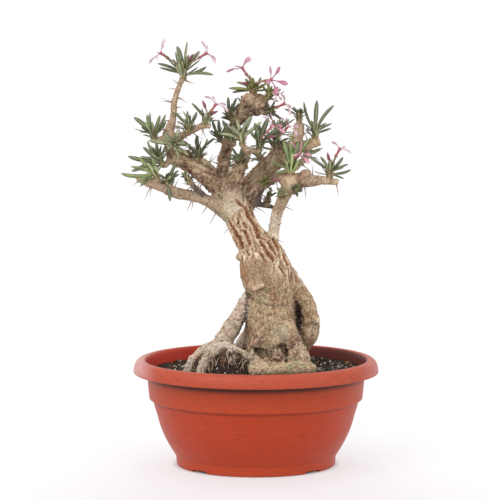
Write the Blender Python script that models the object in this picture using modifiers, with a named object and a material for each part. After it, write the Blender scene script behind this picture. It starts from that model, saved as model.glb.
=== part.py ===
"""A potted pachypodium: a swollen, rooted trunk with leafy shoots and flowers, in a plastic bowl.

+Z is up, +Y points away from the front, and the origin is at the middle of the pot's foot.
Tables are in millimetres and are turned into metres where they are used.
"""

import math

import bmesh
import bpy
from mathutils import Matrix, Vector, noise
from mathutils.bvhtree import BVHTree

MM = 0.001
UP = Vector((0, 0, 1))
GOLDEN_ANGLE = math.radians(137.508)
GAP = 0.3 * MM  # between pieces that touch
SEWING = 0.001 * MM  # corners nearer than this are one corner

# Driving dimensions of the pot
WALL = 3 * MM
FOOT_RADIUS = 98 * MM
FOOT_HEIGHT = 11.5 * MM
FOOT_RECESS = 5 * MM
FOOT_WIDTH = 7 * MM
BAND_HEIGHT = 80 * MM  # where the wall steps out into the upper band
POT_STEPS = 32
NOTCH_WIDTH = 24 * MM
NOTCH_HEIGHT = 3 * MM
DRAIN_HOLES = 4
DRAIN_RADIUS = 4.5 * MM
DRAIN_CIRCLE = 58 * MM

# Soil
SOIL_TOP = 118 * MM
SOIL_RINGS = 4
SOIL_RELIEF = 3 * MM

# Wood: each limb is a list of (x, y, z, radius) along its middle line
LIMBS = {
    "base": [(18, 0, 106, 30), (18, 0, 126, 28), (17, 0, 145, 30), (17, 0, 163, 30.5),
        (17, 0, 182, 30), (17, 0, 202, 29), (17, 0, 220, 31), (11.5, 0, 239, 31.5),
        (6.5, 0, 257, 27.5), (0, 0, 272, 20.5)],
    "trunk": [(7, 0, 257, 24), (-1, 0, 273, 19.5), (-10, 0, 288, 17), (-19, 0, 304, 16.2),
        (-24, 0, 320, 16)],
    "centre_front": [(-25, -4, 312, 13), (-28, -12, 328, 11.5), (-28, -18, 346, 11),
        (-22, -24, 361, 9.2), (-15, -27, 376, 7.5), (-10, -28, 388, 5)],
    "right_main": [(-22, 2, 318, 14), (-10, 6, 338, 13), (4, 8, 353, 12.5), (19, 8, 368, 12),
        (34, 9, 381, 11), (45, 12, 389, 8.5)],
    "right_knob": [(44, 12, 388, 8), (51, 16, 402, 7.2), (53, 18, 417, 6.2)],
    "right_end": [(42, 12, 387, 8), (56, 18, 389, 6.8), (68, 22, 392, 6.2), (78, 24, 395, 5.6)],
    "shoulder": [(14, 0, 262, 13), (20, 0, 275, 8), (22, -2, 289, 6.8), (25, -8, 307, 7),
        (29.5, -14, 320, 6.8), (36, -18, 335, 8.2), (42, -21, 348, 9.4), (44, -22, 354, 9)],
    "right_low": [(42, -20, 350, 9.3), (53, -24, 351, 8.6), (66, -26, 350, 7.6),
        (77, -27, 351, 5.8), (89, -28, 350, 4.6), (99.5, -28, 348.5, 3.6)],
    "left_main": [(-27, 0, 318, 14), (-42, -3, 337, 12.5), (-57, -6, 352, 12), (-73, -8, 364, 11),
        (-88, -6, 373, 9.6), (-102, -4, 379, 8)],
    "left_rise": [(-98, -4, 376, 8), (-104, -4, 391, 8), (-107, -4, 406, 6.6), (-104, -2, 414, 5.6),
        (-101, 2, 423, 4.4), (-100, 4, 432, 3.9), (-99.5, 7, 443, 3.9), (-96, 9, 456, 3.4),
        (-92.5, 10, 465, 3.4), (-89.5, 12, 473, 3.4)],
    "left_twig": [(-99, -2, 398, 6), (-87.5, -8, 405, 4.2), (-75.5, -13, 411, 3.8),
        (-65, -17, 416, 3.6), (-54.5, -19, 416, 3.1)],
    "back_upright": [(-28, 6, 322, 12), (-40, 14, 346, 9.4), (-40, 22, 366, 8.2),
        (-36, 26, 385, 7.2), (-31, 26, 402, 6.7), (-24.5, 22, 417, 7), (-17, 20, 428, 9.5),
        (-10, 18, 436, 12.5), (-2, 16, 440, 14.5), (2, 16, 443, 12), (-2, 15, 446, 9)],
    "left_low": [(-24, -4, 298, 9), (-36, -4, 308, 8.4), (-48, -6, 318, 8), (-64, -12, 327, 6.8),
        (-80, -20, 332, 6.6), (-97, -28, 336, 7), (-113, -36, 344, 6.6), (-129, -42, 350, 6.2),
        (-138, -46, 354, 5), (-144, -47, 356.5, 3.2)],
    "left_spur": [(-62, -12, 328, 4.5), (-66, -18, 334, 4), (-74, -26, 342, 3.4),
        (-80, -34, 350, 3)],
    "dark_stub": [(-18, 8, 310, 9), (-12, 18, 315, 8), (-5, 28, 322, 8), (1, 34, 328, 8.6)],
    "dark_twig": [(-4, 26, 319, 5), (4, 31, 317, 3.6), (13, 34, 315, 3.2), (22, 36, 313, 2.6)],
    "back_right": [(-14, 8, 316, 12), (-2, 24, 330, 9), (8, 42, 344, 7.5), (16, 58, 360, 6.4),
        (22, 70, 378, 5.4), (26, 78, 394, 4.4)],
    "back_left": [(-24, 8, 316, 10), (-32, 28, 330, 8), (-42, 48, 344, 6.8), (-54, 62, 356, 5.6),
        (-66, 70, 368, 4.6)],
    "back_reach": [(6, 36, 340, 6.5), (24, 50, 348, 5.6), (42, 60, 356, 5), (58, 66, 368, 4.2)],
}

# Surface roots, from the trunk to where they meet the soil
ROOTS = {
    "left": [(-6, 2, 216, 12), (-14, -4, 204, 9.6), (-20, -8, 190, 9.2), (-28, -14, 175, 9.4),
        (-37, -20, 161, 9.8), (-43, -25, 151, 10.5)],
    "finger_far": [(-43, -25, 150, 9), (-56, -28, 148, 6.6), (-67, -31, 142, 5.8),
        (-76, -34, 134, 5.2), (-82, -36, 124, 5), (-84, -37, 112, 5)],
    "finger_front": [(-44, -27, 149, 9), (-53, -37, 143, 6.6), (-61, -46, 135, 5.8),
        (-67, -52, 124, 5.4), (-69, -54, 112, 5)],
    "finger_back": [(-42, -24, 150, 9), (-43, -16, 138, 7), (-46, -8, 124, 6), (-47, -4, 112, 6)],
    "finger_middle": [(-42, -27, 148, 8.5), (-40, -36, 136, 6), (-41, -41, 124, 5.4),
        (-41, -43, 112, 5)],
    "cross": [(-38, -28, 151, 5), (-26, -37, 148, 3.6), (-15, -43, 142, 3.5), (-6, -44, 135, 5)],
    "slab": [(-8, -43, 126, 8.4), (6, -46, 127, 9), (26, -47, 128, 9.6), (48, -45, 127, 9.4),
        (62, -40, 125, 8.8), (70, -36, 122, 7)],
    "foot_left": [(8, -14, 170, 15), (1, -24, 156, 10), (-4, -33, 144, 8), (-7, -41, 134, 8)],
    "foot_middle": [(20, -18, 160, 13), (24, -28, 149, 8.5), (26, -36, 141, 6.5),
        (27, -42, 134, 7)],
    "foot_right": [(32, -10, 172, 16), (41, -19, 158, 12.5), (50, -27, 146, 10), (57, -33, 134, 9),
        (60, -35, 116, 8)],
    "right": [(24, 0, 244, 14), (38, 2, 228, 14), (50, 4, 212, 12.5), (60, 6, 199, 11.4),
        (65, 7, 185, 11), (67, 8, 170, 11), (66, 8, 155, 10.8), (62, 8, 140, 10.4),
        (58, 8, 124, 10), (56, 8, 112, 9)],
    "right_inner": [(30, 10, 240, 12), (42, 14, 215, 14), (48, 15, 188, 14), (48, 14, 160, 14),
        (42, 12, 130, 13), (42, 12, 112, 12)],
    "back": [(24, 12, 172, 18), (32, 28, 156, 13), (38, 40, 142, 11), (42, 50, 126, 9),
        (43, 52, 112, 8)],
    "back_left": [(6, 12, 170, 17), (-6, 26, 154, 12), (-16, 38, 140, 10), (-24, 48, 125, 8.5),
        (-26, 50, 112, 8)],
}

# Knobs on the trunk and limbs: (x, y, z, radius)
KNOBS = [(-19, -8, 256, 5.5), (32, -8, 254, 6), (73, -2, 178, 6), (2, -22, 226, 8),
         (16, -26, 221, 7), (-12, -26, 386, 6), (34, -22, 352, 8), (-9, 6, 446, 9), (8, 12, 440, 8),
         (-103, -6, 403, 7), (50, -14, 345, 9), (-34, -12, 345, 8), (-60, -14, 356, 8),
         (-84, -2, 378, 8), (20, -2, 374, 9), (40, 2, 372, 9), (60, -28, 358, 7),
         (-96, -10, 372, 7)]
RIDGES = 6  # ropes of bark wound round the upper trunk
RIDGE_TWIST = math.radians(75)
VOXEL = 1.3 * MM
BARK_LUMPS = 1.5 * MM
WOOD_TRIANGLES = 2600
PEGS = [(18, 0, 21, 50), (-84, -37, 3.4, 14), (-69, -54, 3.4, 14), (60, -35, 5.5, 22), (56, 8, 6.5, 26),
        (43, 52, 5.5, 22), (-26, 50, 5.5, 22)]  # x, y, radius, depth
PEG_SIDES = 7
SPINE_LENGTH = 15 * MM
SPINE_RADIUS = 0.77 * MM  # at the spine's root
SPINE_SPACING = 25 * MM
SPINY_LIMBS = ["left_rise", "left_twig", "left_low", "right_low", "right_end", "back_right", "back_left",
               "back_reach", "left_spur"]

# Leafy shoots: seat (x, y, z), direction, leaf length, leaves by rule, then leaves that are placed one by one
# as (angle from straight up seen from the front, towards the front, length)
SHOOTS = {
    "top_left": [(-88.5, 12, 474), (-0.05, 0, 1), 31, 4,
        [(-57, 5, 34), (-26, 12, 35), (-8, -15, 38), (6, 15, 40), (22, -14, 35), (81, 10, 38),
         (73, -14, 31), (36, 14, 28)]],
    "left_fan": [(-123, -6, 401.5), (-0.45, -0.2, 0.85), 23, 5,
        [(-37, 4, 30), (-10, 14, 27), (5, -14, 26), (24, 8, 29), (-20, -14, 26), (-64, 12, 16),
         (36, -16, 24)]],
    "twig_middle": [(-82, -15, 410), (0, -0.25, 1), 18, 4,
        [(-26, 8, 24), (-3, -12, 20), (9, 14, 21), (20, -10, 22), (-44, 16, 16)]],
    "twig_end": [(-62, -19, 419), (0.4, -0.1, 0.9), 15, 3,
        [(-38, 5, 28), (16, 22, 13), (82, 5, 15), (-14, -16, 16)]],
    "left_face": [(-97, -17, 393), (-0.05, -0.95, 0.3), 19, 8,
        [(-80, 14, 33), (-40, 30, 19), (128, 26, 22), (86, 24, 19), (168, 30, 18)]],
    "left_end": [(-113, -14, 370), (-0.75, -0.25, 0.6), 26, 5,
        [(-77, 6, 36), (-86, -8, 37), (-64, 14, 30), (-50, -12, 28), (-34, 10, 25), (-14, -10, 25),
         (2, 8, 22), (24, 16, 18)]],
    "left_low_tuft": [(-120, -48, 358), (-0.6, -0.2, 0.75), 22, 4,
        [(-82, 4, 33), (-66, 14, 28), (-102, 6, 29), (-44, -10, 26), (-86, 24, 27), (30, 16, 18)]],
    "left_low_side": [(-108, -45, 350), (0.35, -0.75, 0.5), 18, 3,
        [(174, 10, 25), (26, 12, 24), (38, 22, 18)]],
    "left_main_top": [(-72, -10, 375), (0.1, -0.1, 1), 20, 4,
        [(-24, 6, 25), (0, -12, 25), (33, 8, 31), (50, 22, 15), (12, 14, 20), (-52, 16, 14)]],
    "upright_left": [(-43.5, 20, 398), (-0.5, -0.45, 0.75), 18, 2,
        [(-26, 10, 20), (-8, -14, 22), (24, 4, 20)]],
    "centre_left": [(-28, -4, 396), (-0.25, -0.4, 0.9), 21, 4,
        [(-24, 10, 24), (-4, -8, 23), (-64, 14, 20)]],
    "centre_top": [(-17, -14, 396), (-0.1, -0.25, 1), 24, 4,
        [(-70, 6, 27), (-30, 12, 24), (3, 6, 30), (18, -10, 31), (34, 10, 32), (-12, -14, 26)]],
    "centre_right": [(4, -17, 390), (0.1, -0.35, 0.9), 20, 4,
        [(-18, 8, 27), (0, -10, 25), (12, 12, 33), (-36, 14, 18), (40, 12, 32), (98, 16, 16)]],
    "crown": [(-3, 14, 455), (-0.1, -0.15, 1), 19, 6,
        [(-72, 8, 30), (-90, 4, 26), (-50, -10, 23), (-2, 22, 16), (36, 14, 19), (-30, 18, 17),
         (58, -12, 20), (20, -16, 19), (78, 12, 20), (-18, 30, 14)]],
    "crown_right": [(13.5, 8, 449), (0.6, -0.4, 0.7), 13, 4,
        [(6, 10, 20), (-30, 14, 18), (54, 10, 15)]],
    "crown_left": [(-30, 10, 424), (-0.55, -0.45, 0.75), 18, 3,
        [(-14, 6, 22), (2, -12, 20), (14, 12, 24), (30, -8, 19), (-40, 12, 14)]],
    "crown_low": [(12, 6, 432), (0.75, -0.5, 0.3), 13, 3,
        [(116, 8, 19), (-8, 20, 13), (150, 14, 12)]],
    "right_top": [(72.5, 22, 401), (0, -0.1, 1), 22, 5,
        [(-17, 6, 40), (2, -12, 43), (29, 4, 41), (47, 12, 24), (-50, 10, 20), (66, -10, 21),
         (-34, 18, 18)]],
    "right_knob_top": [(52.5, 17, 423), (0, -0.15, 1), 12, 6,
        [(-58, 8, 20), (-34, 14, 14), (32, 8, 13)]],
    "inner_dark": [(24.5, -2, 389), (0, -0.35, 1), 17, 4,
        [(-40, 8, 20), (10, -5, 22), (48, 10, 18)]],
    "tall": [(42, -27, 361.5), (0, -0.2, 1), 22, 4,
        [(0, 8, 39), (-10, -10, 47), (8, -14, 42), (16, 4, 43), (-57, 12, 27), (-72, 18, 20),
         (52, 14, 18)]],
    "right_tuft": [(89, -29, 357), (0.05, -0.15, 1), 19, 5,
        [(-38, 8, 29), (-26, -12, 22), (33, -8, 24), (51, 8, 24), (76, 4, 26), (94, 12, 18),
         (62, 20, 20), (12, 14, 20)]],
    "shoulder_tuft": [(31, -23, 332), (-0.2, -0.85, 0.5), 11, 6, []],
    "shoulder_side": [(47, -27, 338), (0.3, -0.8, 0.3), 10, 5, []],
    "under_main": [(12, -9, 348), (0.1, -0.9, 0.1), 11, 5,
        [(-85, 20, 12)]],
    "dark_fork": [(14, 31, 321), (0.3, -0.2, 0.9), 10, 3,
        [(22, 5, 14), (50, 12, 12)]],
    "front_tuft": [(-19, -34, 373), (-0.1, -0.75, 0.65), 14, 4,
        [(-26, 14, 18), (8, 18, 16), (-62, 14, 15)]],
    "spur_end": [(-81, -36, 351.5), (-0.5, -0.1, 0.8), 9, 4, []],
    "back_top": [(27, 80, 398), (0.15, 0.35, 1), 26, 9, []],
    "back_left_end": [(-69, 72, 371), (-0.4, 0.4, 0.85), 24, 8, []],
    "back_reach_end": [(61, 68, 371), (0.45, 0.45, 0.8), 23, 8, []],
    "back_middle": [(-40, 57, 358), (0.2, 0.45, 0.9), 22, 7, []],
    "back_fork": [(7, 66, 370), (-0.6, 0.5, 0.65), 20, 7, []],
    "back_crown": [(-12, 34, 436), (-0.2, 0.8, 0.6), 17, 7, []],
}
CORE_RADIUS = 3 * MM
CORE_TOP = 2.3 * MM
CORE_LENGTH = 8 * MM
CORE_SIDES = 5
ROOT_OUT = (0.7 * MM, 1.5 * MM)  # how far off the shoot's axis a spreading and an upright leaf start
LEAF_WIDTH = 0.088  # half width, as a share of the length, within LEAF_HALF
LEAF_HALF = (1.7 * MM, 2.8 * MM)
SHORT_LEAF = 23 * MM  # shorter leaves have one bend fewer
LEAF_KEEL = 1.3 * MM
LEAF_GAP = 0.45 * MM  # the least air between leaves past their roots
ROOT_LENGTH = 3 * MM
ROOT_SINK = 0.13 * MM

# Flower sprays, each on the top of a shoot: open flowers and buds as (kind, angle from straight up
# seen from the front, towards the front, length of stalk and tube, turn of the petals)
SPRAYS = {
    "top_left": [("flower", -56, 6, 34, 20), ("flower", 58, 8, 36, 50), ("bud", 37, -12, 22, 0)],
    "twig_end": [("flower", 34, 8, 18, 10), ("bud", -21, 8, 20, 0), ("bud", 66, -12, 13, 0)],
    "crown": [("flower", -33, 6, 25, 0), ("flower", 76, 38, 31, 35), ("bud", -84, 24, 15, 0)],
    "crown_low": [("flower", 66, 5, 14, 30)],
    "centre_right": [("flower", 42, 14, 24, 15), ("bud", 78, 4, 20, 0)],
    "inner_dark": [("flower", 42, 16, 24, 5)],
    "tall": [("flower", 42, 28, 18, 60)],
    "right_tuft": [("flower", 28, 4, 26, 25), ("bud", -12, 8, 18, 0)],
    "crown_right": [("flower", 135, 45, 13, 15)],
    "under_main": [("bud", 80, 18, 19, 0)],
}
STALK_RADIUS = 0.9 * MM
TUBE_LENGTH = 13 * MM
THROAT_RADIUS = 1.9 * MM
PETALS = 5
PETAL_LENGTH = 19 * MM
PETAL_HALF = 2.6 * MM
PETAL_KEEL = 0.9 * MM
BUD_RADIUS = 1.8 * MM
BUD_LENGTH = 11 * MM

COLOURS = {  # base colour and roughness
    "pot": ((0.45, 0.09, 0.04), 0.45),
    "soil": ((0.035, 0.025, 0.02), 0.95),
    "wood": ((0.36, 0.26, 0.17), 0.85),
    "leaf": ((0.12, 0.19, 0.09), 0.55),
    "flower": ((0.68, 0.22, 0.3), 0.6),
}


def clear_scene():
    for obj in list(bpy.data.objects):
        bpy.data.objects.remove(obj, do_unlink=True)


def material(name):
    colour, roughness = COLOURS[name]
    made = bpy.data.materials.get(name) or bpy.data.materials.new(name)
    made.use_nodes = True
    shader = made.node_tree.nodes["Principled BSDF"]
    shader.inputs["Base Color"].default_value = (*colour, 1)
    shader.inputs["Roughness"].default_value = roughness
    shader.inputs["Metallic"].default_value = 0
    return made


def collection(name, hidden=False):
    made = bpy.data.collections.new(name)
    bpy.context.scene.collection.children.link(made)
    made.hide_render = hidden
    return made


def mesh_object(name, mesh, where):
    obj = bpy.data.objects.new(name, mesh)
    where.objects.link(obj)
    return obj


def solid(shape, name, where):
    """The object of a bmesh, which is used up."""
    mesh = bpy.data.meshes.new(name)
    shape.to_mesh(mesh)
    shape.free()
    return mesh_object(name, mesh, where)


def mesh_from(points, faces, name="piece"):
    """A mesh of these points and faces, with its faces turned outwards."""
    mesh = bpy.data.meshes.new(name)
    mesh.from_pydata([tuple(p) for p in points], [], faces)
    shape = bmesh.new()
    shape.from_mesh(mesh)
    bmesh.ops.recalc_face_normals(shape, faces=shape.faces)
    shape.to_mesh(mesh)
    shape.free()
    return mesh


def evaluated_mesh(obj):
    """The object's mesh with its modifiers applied, its curve's caps welded, in world space."""
    bpy.context.view_layer.update()
    graph = bpy.context.evaluated_depsgraph_get()
    mesh = bpy.data.meshes.new_from_object(obj.evaluated_get(graph))
    mesh.transform(obj.matrix_world)
    shape = bmesh.new()
    shape.from_mesh(mesh)
    bmesh.ops.remove_doubles(shape, verts=shape.verts, dist=1e-6)
    shape.to_mesh(mesh)
    shape.free()
    return mesh


def baked(obj, name, where):
    """Replaces obj with a plain mesh object of the same shape."""
    mesh = evaluated_mesh(obj)
    bpy.data.objects.remove(obj, do_unlink=True)
    mesh.name = name
    return mesh_object(name, mesh, where)


def boolean(obj, others, operation, solver="EXACT"):
    """Joins or cuts obj with every object of the collection in one step, then removes those objects."""
    modifier = obj.modifiers.new(operation.lower(), "BOOLEAN")
    modifier.operand_type = "COLLECTION"
    modifier.collection = others
    modifier.operation = operation
    modifier.solver = solver
    made = baked(obj, obj.name, obj.users_collection[0])
    for other in list(others.objects):
        bpy.data.objects.remove(other, do_unlink=True)
    return made


def is_one_body(mesh):
    """Whether the mesh is one closed body: two faces at each edge, one fan of faces at each corner."""
    shape = bmesh.new()
    shape.from_mesh(mesh)
    bmesh.ops.remove_doubles(shape, verts=shape.verts, dist=SEWING)
    sound = all(len(edge.link_faces) == 2 for edge in shape.edges) and all(v.is_manifold for v in shape.verts)
    shape.faces.ensure_lookup_table()
    reached = {shape.faces[0]}
    front = [shape.faces[0]]
    while front:
        face = front.pop()
        for edge in face.edges:
            for other in edge.link_faces:
                if other not in reached:
                    reached.add(other)
                    front.append(other)
    sound = sound and len(reached) == len(shape.faces)
    shape.free()
    return sound


def turned(name, profile, steps, where):
    """A solid turned from a profile that runs from the axis, up inside, over the top and down outside."""
    mesh = bpy.data.meshes.new(name)
    mesh.from_pydata([(r, 0, z) for r, z in profile], [(i, i + 1) for i in range(len(profile) - 1)], [])
    obj = mesh_object(name, mesh, where)
    screw = obj.modifiers.new("turn", "SCREW")
    screw.steps = screw.render_steps = steps
    screw.use_merge_vertices = True
    screw.merge_threshold = 1e-5
    return baked(obj, name, where)


def bar(radius, length, start, direction, sides, where):
    """A plain cylinder from start along direction."""
    shape = bmesh.new()
    bmesh.ops.create_cone(shape, cap_ends=True, segments=sides, radius1=radius, radius2=radius, depth=length)
    turn = Vector(direction).to_track_quat("Z", "Y").to_matrix().to_4x4()
    middle = Vector(start) + Vector(direction).normalized() * length / 2
    bmesh.ops.transform(shape, matrix=Matrix.Translation(middle) @ turn, verts=shape.verts)
    return solid(shape, "bar", where)


def pot_profile():
    """The pot's outline as (radius, height): up the inside, over the rim, down the outside, under the foot."""
    body = [(121.6, 63.5), (117.2, 48), (110.1, 31.5), (101.4, 16.5)]
    step = [(130.4, BAND_HEIGHT / MM + 1.6), (126.3, BAND_HEIGHT / MM - 0.3)]
    floor = FOOT_RECESS + WALL
    inside = [(0, floor), (FOOT_RADIUS - WALL, floor)]
    for r, z in [*reversed(body[:3]), *reversed(step)]:
        inside.append((r * MM - WALL, z * MM + 1 * MM))
    rim = [(135.4, 128.2), (138, 130), (143.4, 129.6), (147.4, 126), (149.5, 120), (150, 115), (149, 113),
           (147, 113.4), (145.4, 121.4), (139, 125.8), (134.2, 120.6)]
    outside = [(r * MM, z * MM) for r, z in [*step, *body]]
    foot = [(FOOT_RADIUS, FOOT_HEIGHT), (FOOT_RADIUS - 0.8 * MM, 0), (FOOT_RADIUS - FOOT_WIDTH, 0),
            (FOOT_RADIUS - FOOT_WIDTH, FOOT_RECESS), (0, FOOT_RECESS)]
    return inside + [(r * MM, z * MM) for r, z in rim] + outside + foot


def inner_radius(z):
    """The radius of the pot's inside at a height, from its profile."""
    inside = pot_profile()[1:8]
    for (r0, z0), (r1, z1) in zip(inside, inside[1:]):
        if z0 <= z <= z1:
            return r0 + (r1 - r0) * (z - z0) / (z1 - z0)
    return inside[-1][0]


def make_pot(where, cutters):
    pot = turned("pot", pot_profile(), POT_STEPS, where)
    for quarter in range(4):  # notches through the foot ring, on the diagonals
        angle = math.radians(45 + 90 * quarter)
        shape = bmesh.new()
        bmesh.ops.create_cube(shape, size=1)
        size = Matrix.Diagonal((4 * FOOT_WIDTH, NOTCH_WIDTH, 2 * NOTCH_HEIGHT, 1))
        place = Matrix.Rotation(angle, 4, "Z") @ Matrix.Translation((FOOT_RADIUS - FOOT_WIDTH / 2, 0, 0))
        bmesh.ops.transform(shape, matrix=place @ size, verts=shape.verts)
        solid(shape, "notch", cutters)
    for k in range(DRAIN_HOLES):
        angle = math.tau * k / DRAIN_HOLES
        at = (DRAIN_CIRCLE * math.cos(angle), DRAIN_CIRCLE * math.sin(angle), 0)
        bar(DRAIN_RADIUS, 4 * WALL, at, UP, 8, cutters)
    return boolean(pot, cutters, "DIFFERENCE")


def make_soil(where, cutters):
    """Soil that fills the pot to under the rim, with a pitted top and a plain hole for each root peg."""
    floor = FOOT_RECESS + WALL + GAP
    side = [(r - 1.5 * GAP, z) for r, z in pot_profile()[2:7] if z < SOIL_TOP]
    side = [(FOOT_RADIUS - WALL - 2 * GAP, floor), *side, (inner_radius(SOIL_TOP) - 1.5 * GAP, SOIL_TOP)]
    edge = side[-1][0]
    top = [(edge * k / SOIL_RINGS, SOIL_TOP) for k in range(SOIL_RINGS)]
    soil = turned("soil", [*top, *reversed(side), (0, floor)], POT_STEPS, where)
    for vertex in soil.data.vertices:
        radius = math.hypot(vertex.co.x, vertex.co.y)
        if vertex.co.z > SOIL_TOP - 1e-5 and radius < edge - 1e-4:
            pit = 0.5 + 0.5 * noise.noise(vertex.co * 90)
            vertex.co.z -= SOIL_RELIEF * pit
    above = SOIL_TOP + 20 * MM
    for x, y, radius, depth in PEGS:
        bottom = SOIL_TOP - depth * MM - GAP
        bar(radius * MM + GAP, above - bottom, (x * MM, y * MM, above), -UP, PEG_SIDES, cutters)
    return boolean(soil, cutters, "DIFFERENCE")


def smooth_path(points, per_span):
    """Points of a smooth curve through (x, y, z, radius) rows, in metres."""
    rows = [[v * MM for v in row] for row in points]
    rows = [rows[0], *rows, rows[-1]]
    path = []
    for a, b, c, d in zip(rows, rows[1:], rows[2:], rows[3:]):
        for k in range(per_span):
            t = k / per_span
            path.append([0.5 * (2 * q + (r - p) * t + (2 * p - 5 * q + 4 * r - s) * t * t
                                + (3 * q - p - 3 * r + s) * t ** 3) for p, q, r, s in zip(a, b, c, d)])
    return [*path, rows[-1]]


def tube(path, where, resolution=3):
    """A tapered tube along a path of (x, y, z, radius), as a bevelled curve turned into a mesh."""
    curve = bpy.data.curves.new("tube", "CURVE")
    curve.dimensions = "3D"
    curve.bevel_depth = 1
    curve.bevel_resolution = resolution
    curve.use_fill_caps = True
    spline = curve.splines.new("POLY")
    spline.points.add(len(path) - 1)
    for point, (x, y, z, radius) in zip(spline.points, path):
        point.co = (x, y, z, 1)
        point.radius = radius
    obj = bpy.data.objects.new("tube", curve)
    where.objects.link(obj)
    return baked(obj, "tube", where)


def ball(centre, radius, where):
    shape = bmesh.new()
    bmesh.ops.create_uvsphere(shape, u_segments=12, v_segments=8, radius=radius)
    bmesh.ops.translate(shape, vec=centre, verts=shape.verts)
    return solid(shape, "ball", where)


def bark_ridges(trunk):
    """Ropes of bark that wind round the upper trunk, each as a path of its own."""
    ridges = []
    for ridge in range(RIDGES):
        rows = []
        for step, (x, y, z, radius) in enumerate(trunk):
            turn = math.tau * ridge / RIDGES + RIDGE_TWIST * step / (len(trunk) - 1)
            out = 0.66 * radius
            thick = radius * (0.42 + 0.08 * math.sin(3.1 * ridge + 1.7 * step))
            rows.append((x + out * math.cos(turn), y + out * math.sin(turn), z, thick))
        ridges.append(rows)
    return ridges


def nearest_on_wood(point, paths):
    """The nearest middle-line point of the limbs, as (x, y, z, radius)."""
    rows = [row for path in paths for row in path]
    return min(rows, key=lambda row: (Vector(row[:3]) - point).length - row[3])


def seat_of(shoot):
    seat, direction = shoot[0], shoot[1]
    return Vector(seat) * MM, Vector(direction).normalized()


def spine_places(paths):
    """Pairs of spines along the young limbs, by turning round each limb from pair to pair."""
    places = []
    for name in SPINY_LIMBS:
        path = paths[name]
        travelled = SPINE_SPACING * 0.5
        turn = len(places) * 0.9
        for row, after in zip(path, path[1:]):
            start, end = Vector(row[:3]), Vector(after[:3])
            travelled += (end - start).length
            if travelled < SPINE_SPACING:
                continue
            travelled -= SPINE_SPACING
            turn += GOLDEN_ANGLE
            along = (end - start).normalized()
            for spread in (-0.45, 0.45):
                side = along.orthogonal().normalized()
                side.rotate(Matrix.Rotation(turn + spread, 3, along))
                length = SPINE_LENGTH * (0.8 + 0.35 * math.sin(5.3 * len(places)))
                direction = (side + along * 0.25).normalized()
                places.append((start + side * row[3] * 0.6, direction, row[3] * 0.4 + length))
    return places


def spine(start, direction, length, where):
    shape = bmesh.new()
    bmesh.ops.create_cone(shape, cap_ends=True, segments=3, radius1=SPINE_RADIUS, radius2=0, depth=length)
    bmesh.ops.remove_doubles(shape, verts=shape.verts, dist=SEWING)
    place = Matrix.Translation(start + direction * length / 2)
    turn = direction.to_track_quat("Z", "Y").to_matrix().to_4x4()
    bmesh.ops.transform(shape, matrix=place @ turn, verts=shape.verts)
    return solid(shape, "spine", where)


def make_wood(where, cutters):
    """Trunk, roots and branches as the one solid that they grew as, with spines and root pegs."""
    growth = collection("growth")
    limb_paths = {name: smooth_path(rows, 4) for name, rows in LIMBS.items()}
    paths = [*limb_paths.values(), *[smooth_path(rows, 4) for rows in ROOTS.values()]]
    for path in paths:
        tube(path, growth)
    for rows in bark_ridges(LIMBS["trunk"]):
        tube(smooth_path(rows, 4), growth)
    for x, y, z, radius in KNOBS:
        ball(Vector((x, y, z)) * MM, radius * MM, growth)
    for shoot in SHOOTS.values():  # each shoot stands on a short twig of its own
        seat, direction = seat_of(shoot)
        foot = nearest_on_wood(seat, limb_paths.values())
        twig = [foot[:3] + [min(foot[3], 4 * MM)], [*(seat - direction * 4 * MM), 3.3 * MM],
                [*(seat + direction * 2 * MM), 3.2 * MM]]
        tube(twig, growth)
    with bpy.context.temp_override(active_object=growth.objects[0], object=growth.objects[0],
                                   selected_editable_objects=list(growth.objects),
                                   selected_objects=list(growth.objects)):
        bpy.ops.object.join()
    raw = growth.objects[0]
    remesh = raw.modifiers.new("one skin", "REMESH")
    remesh.mode = "VOXEL"
    remesh.voxel_size = VOXEL
    relax = raw.modifiers.new("relax", "SMOOTH")
    relax.factor = 0.5
    relax.iterations = 3
    raw = baked(raw, "raw", growth)
    normals = [v.normal.copy() for v in raw.data.vertices]
    for vertex, normal in zip(raw.data.vertices, normals):
        lumps = noise.fractal(vertex.co * 110, 1, 2, 2)
        vertex.co += normal * BARK_LUMPS * lumps
    fewer = raw.modifiers.new("fewer", "DECIMATE")
    fewer.ratio = WOOD_TRIANGLES / (2 * len(raw.data.polygons))  # the skin is of four-cornered faces
    wood = baked(raw, "wood", where)
    bpy.data.collections.remove(growth)

    below = bar(200 * MM, 60 * MM, (0, 0, SOIL_TOP + GAP), -UP, 8, cutters)
    below.name = "below_ground"
    for shoot in SHOOTS.values():  # a flat seat for each shoot
        seat, direction = seat_of(shoot)
        bar(5.5 * MM, 6 * MM, seat, direction, 6, cutters)
    wood = boolean(wood, cutters, "DIFFERENCE")
    for x, y, radius, depth in PEGS:
        bar(radius * MM, depth * MM + 3 * MM, (x * MM, y * MM, SOIL_TOP + 3 * MM), -UP, PEG_SIDES, cutters)
    for start, direction, length in spine_places(limb_paths):
        spine(start, direction, length, cutters)
    return boolean(wood, cutters, "UNION")


class Clearance:
    """Keeps the surfaces that are already placed, so that what comes next can be bent clear of them."""

    def __init__(self):
        self.trees = []

    @staticmethod
    def reach(mesh):
        """The mesh's surface for overlap tests, with its lowest and highest corner."""
        points = [v.co.copy() for v in mesh.vertices]
        tree = BVHTree.FromPolygons(points, [tuple(p.vertices) for p in mesh.polygons])
        low = [min(point[i] for point in points) for i in range(3)]
        high = [max(point[i] for point in points) for i in range(3)]
        return tree, low, high

    def add(self, mesh, owner):
        self.trees.append((*self.reach(mesh), owner))

    def hits(self, mesh, skip=()):
        tree, low, high = self.reach(mesh)
        for other, other_low, other_high, owner in self.trees:
            if owner in skip or any(low[i] > other_high[i] or high[i] < other_low[i] for i in range(3)):
                continue
            if tree.overlap(other):
                return True
        return False


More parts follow.
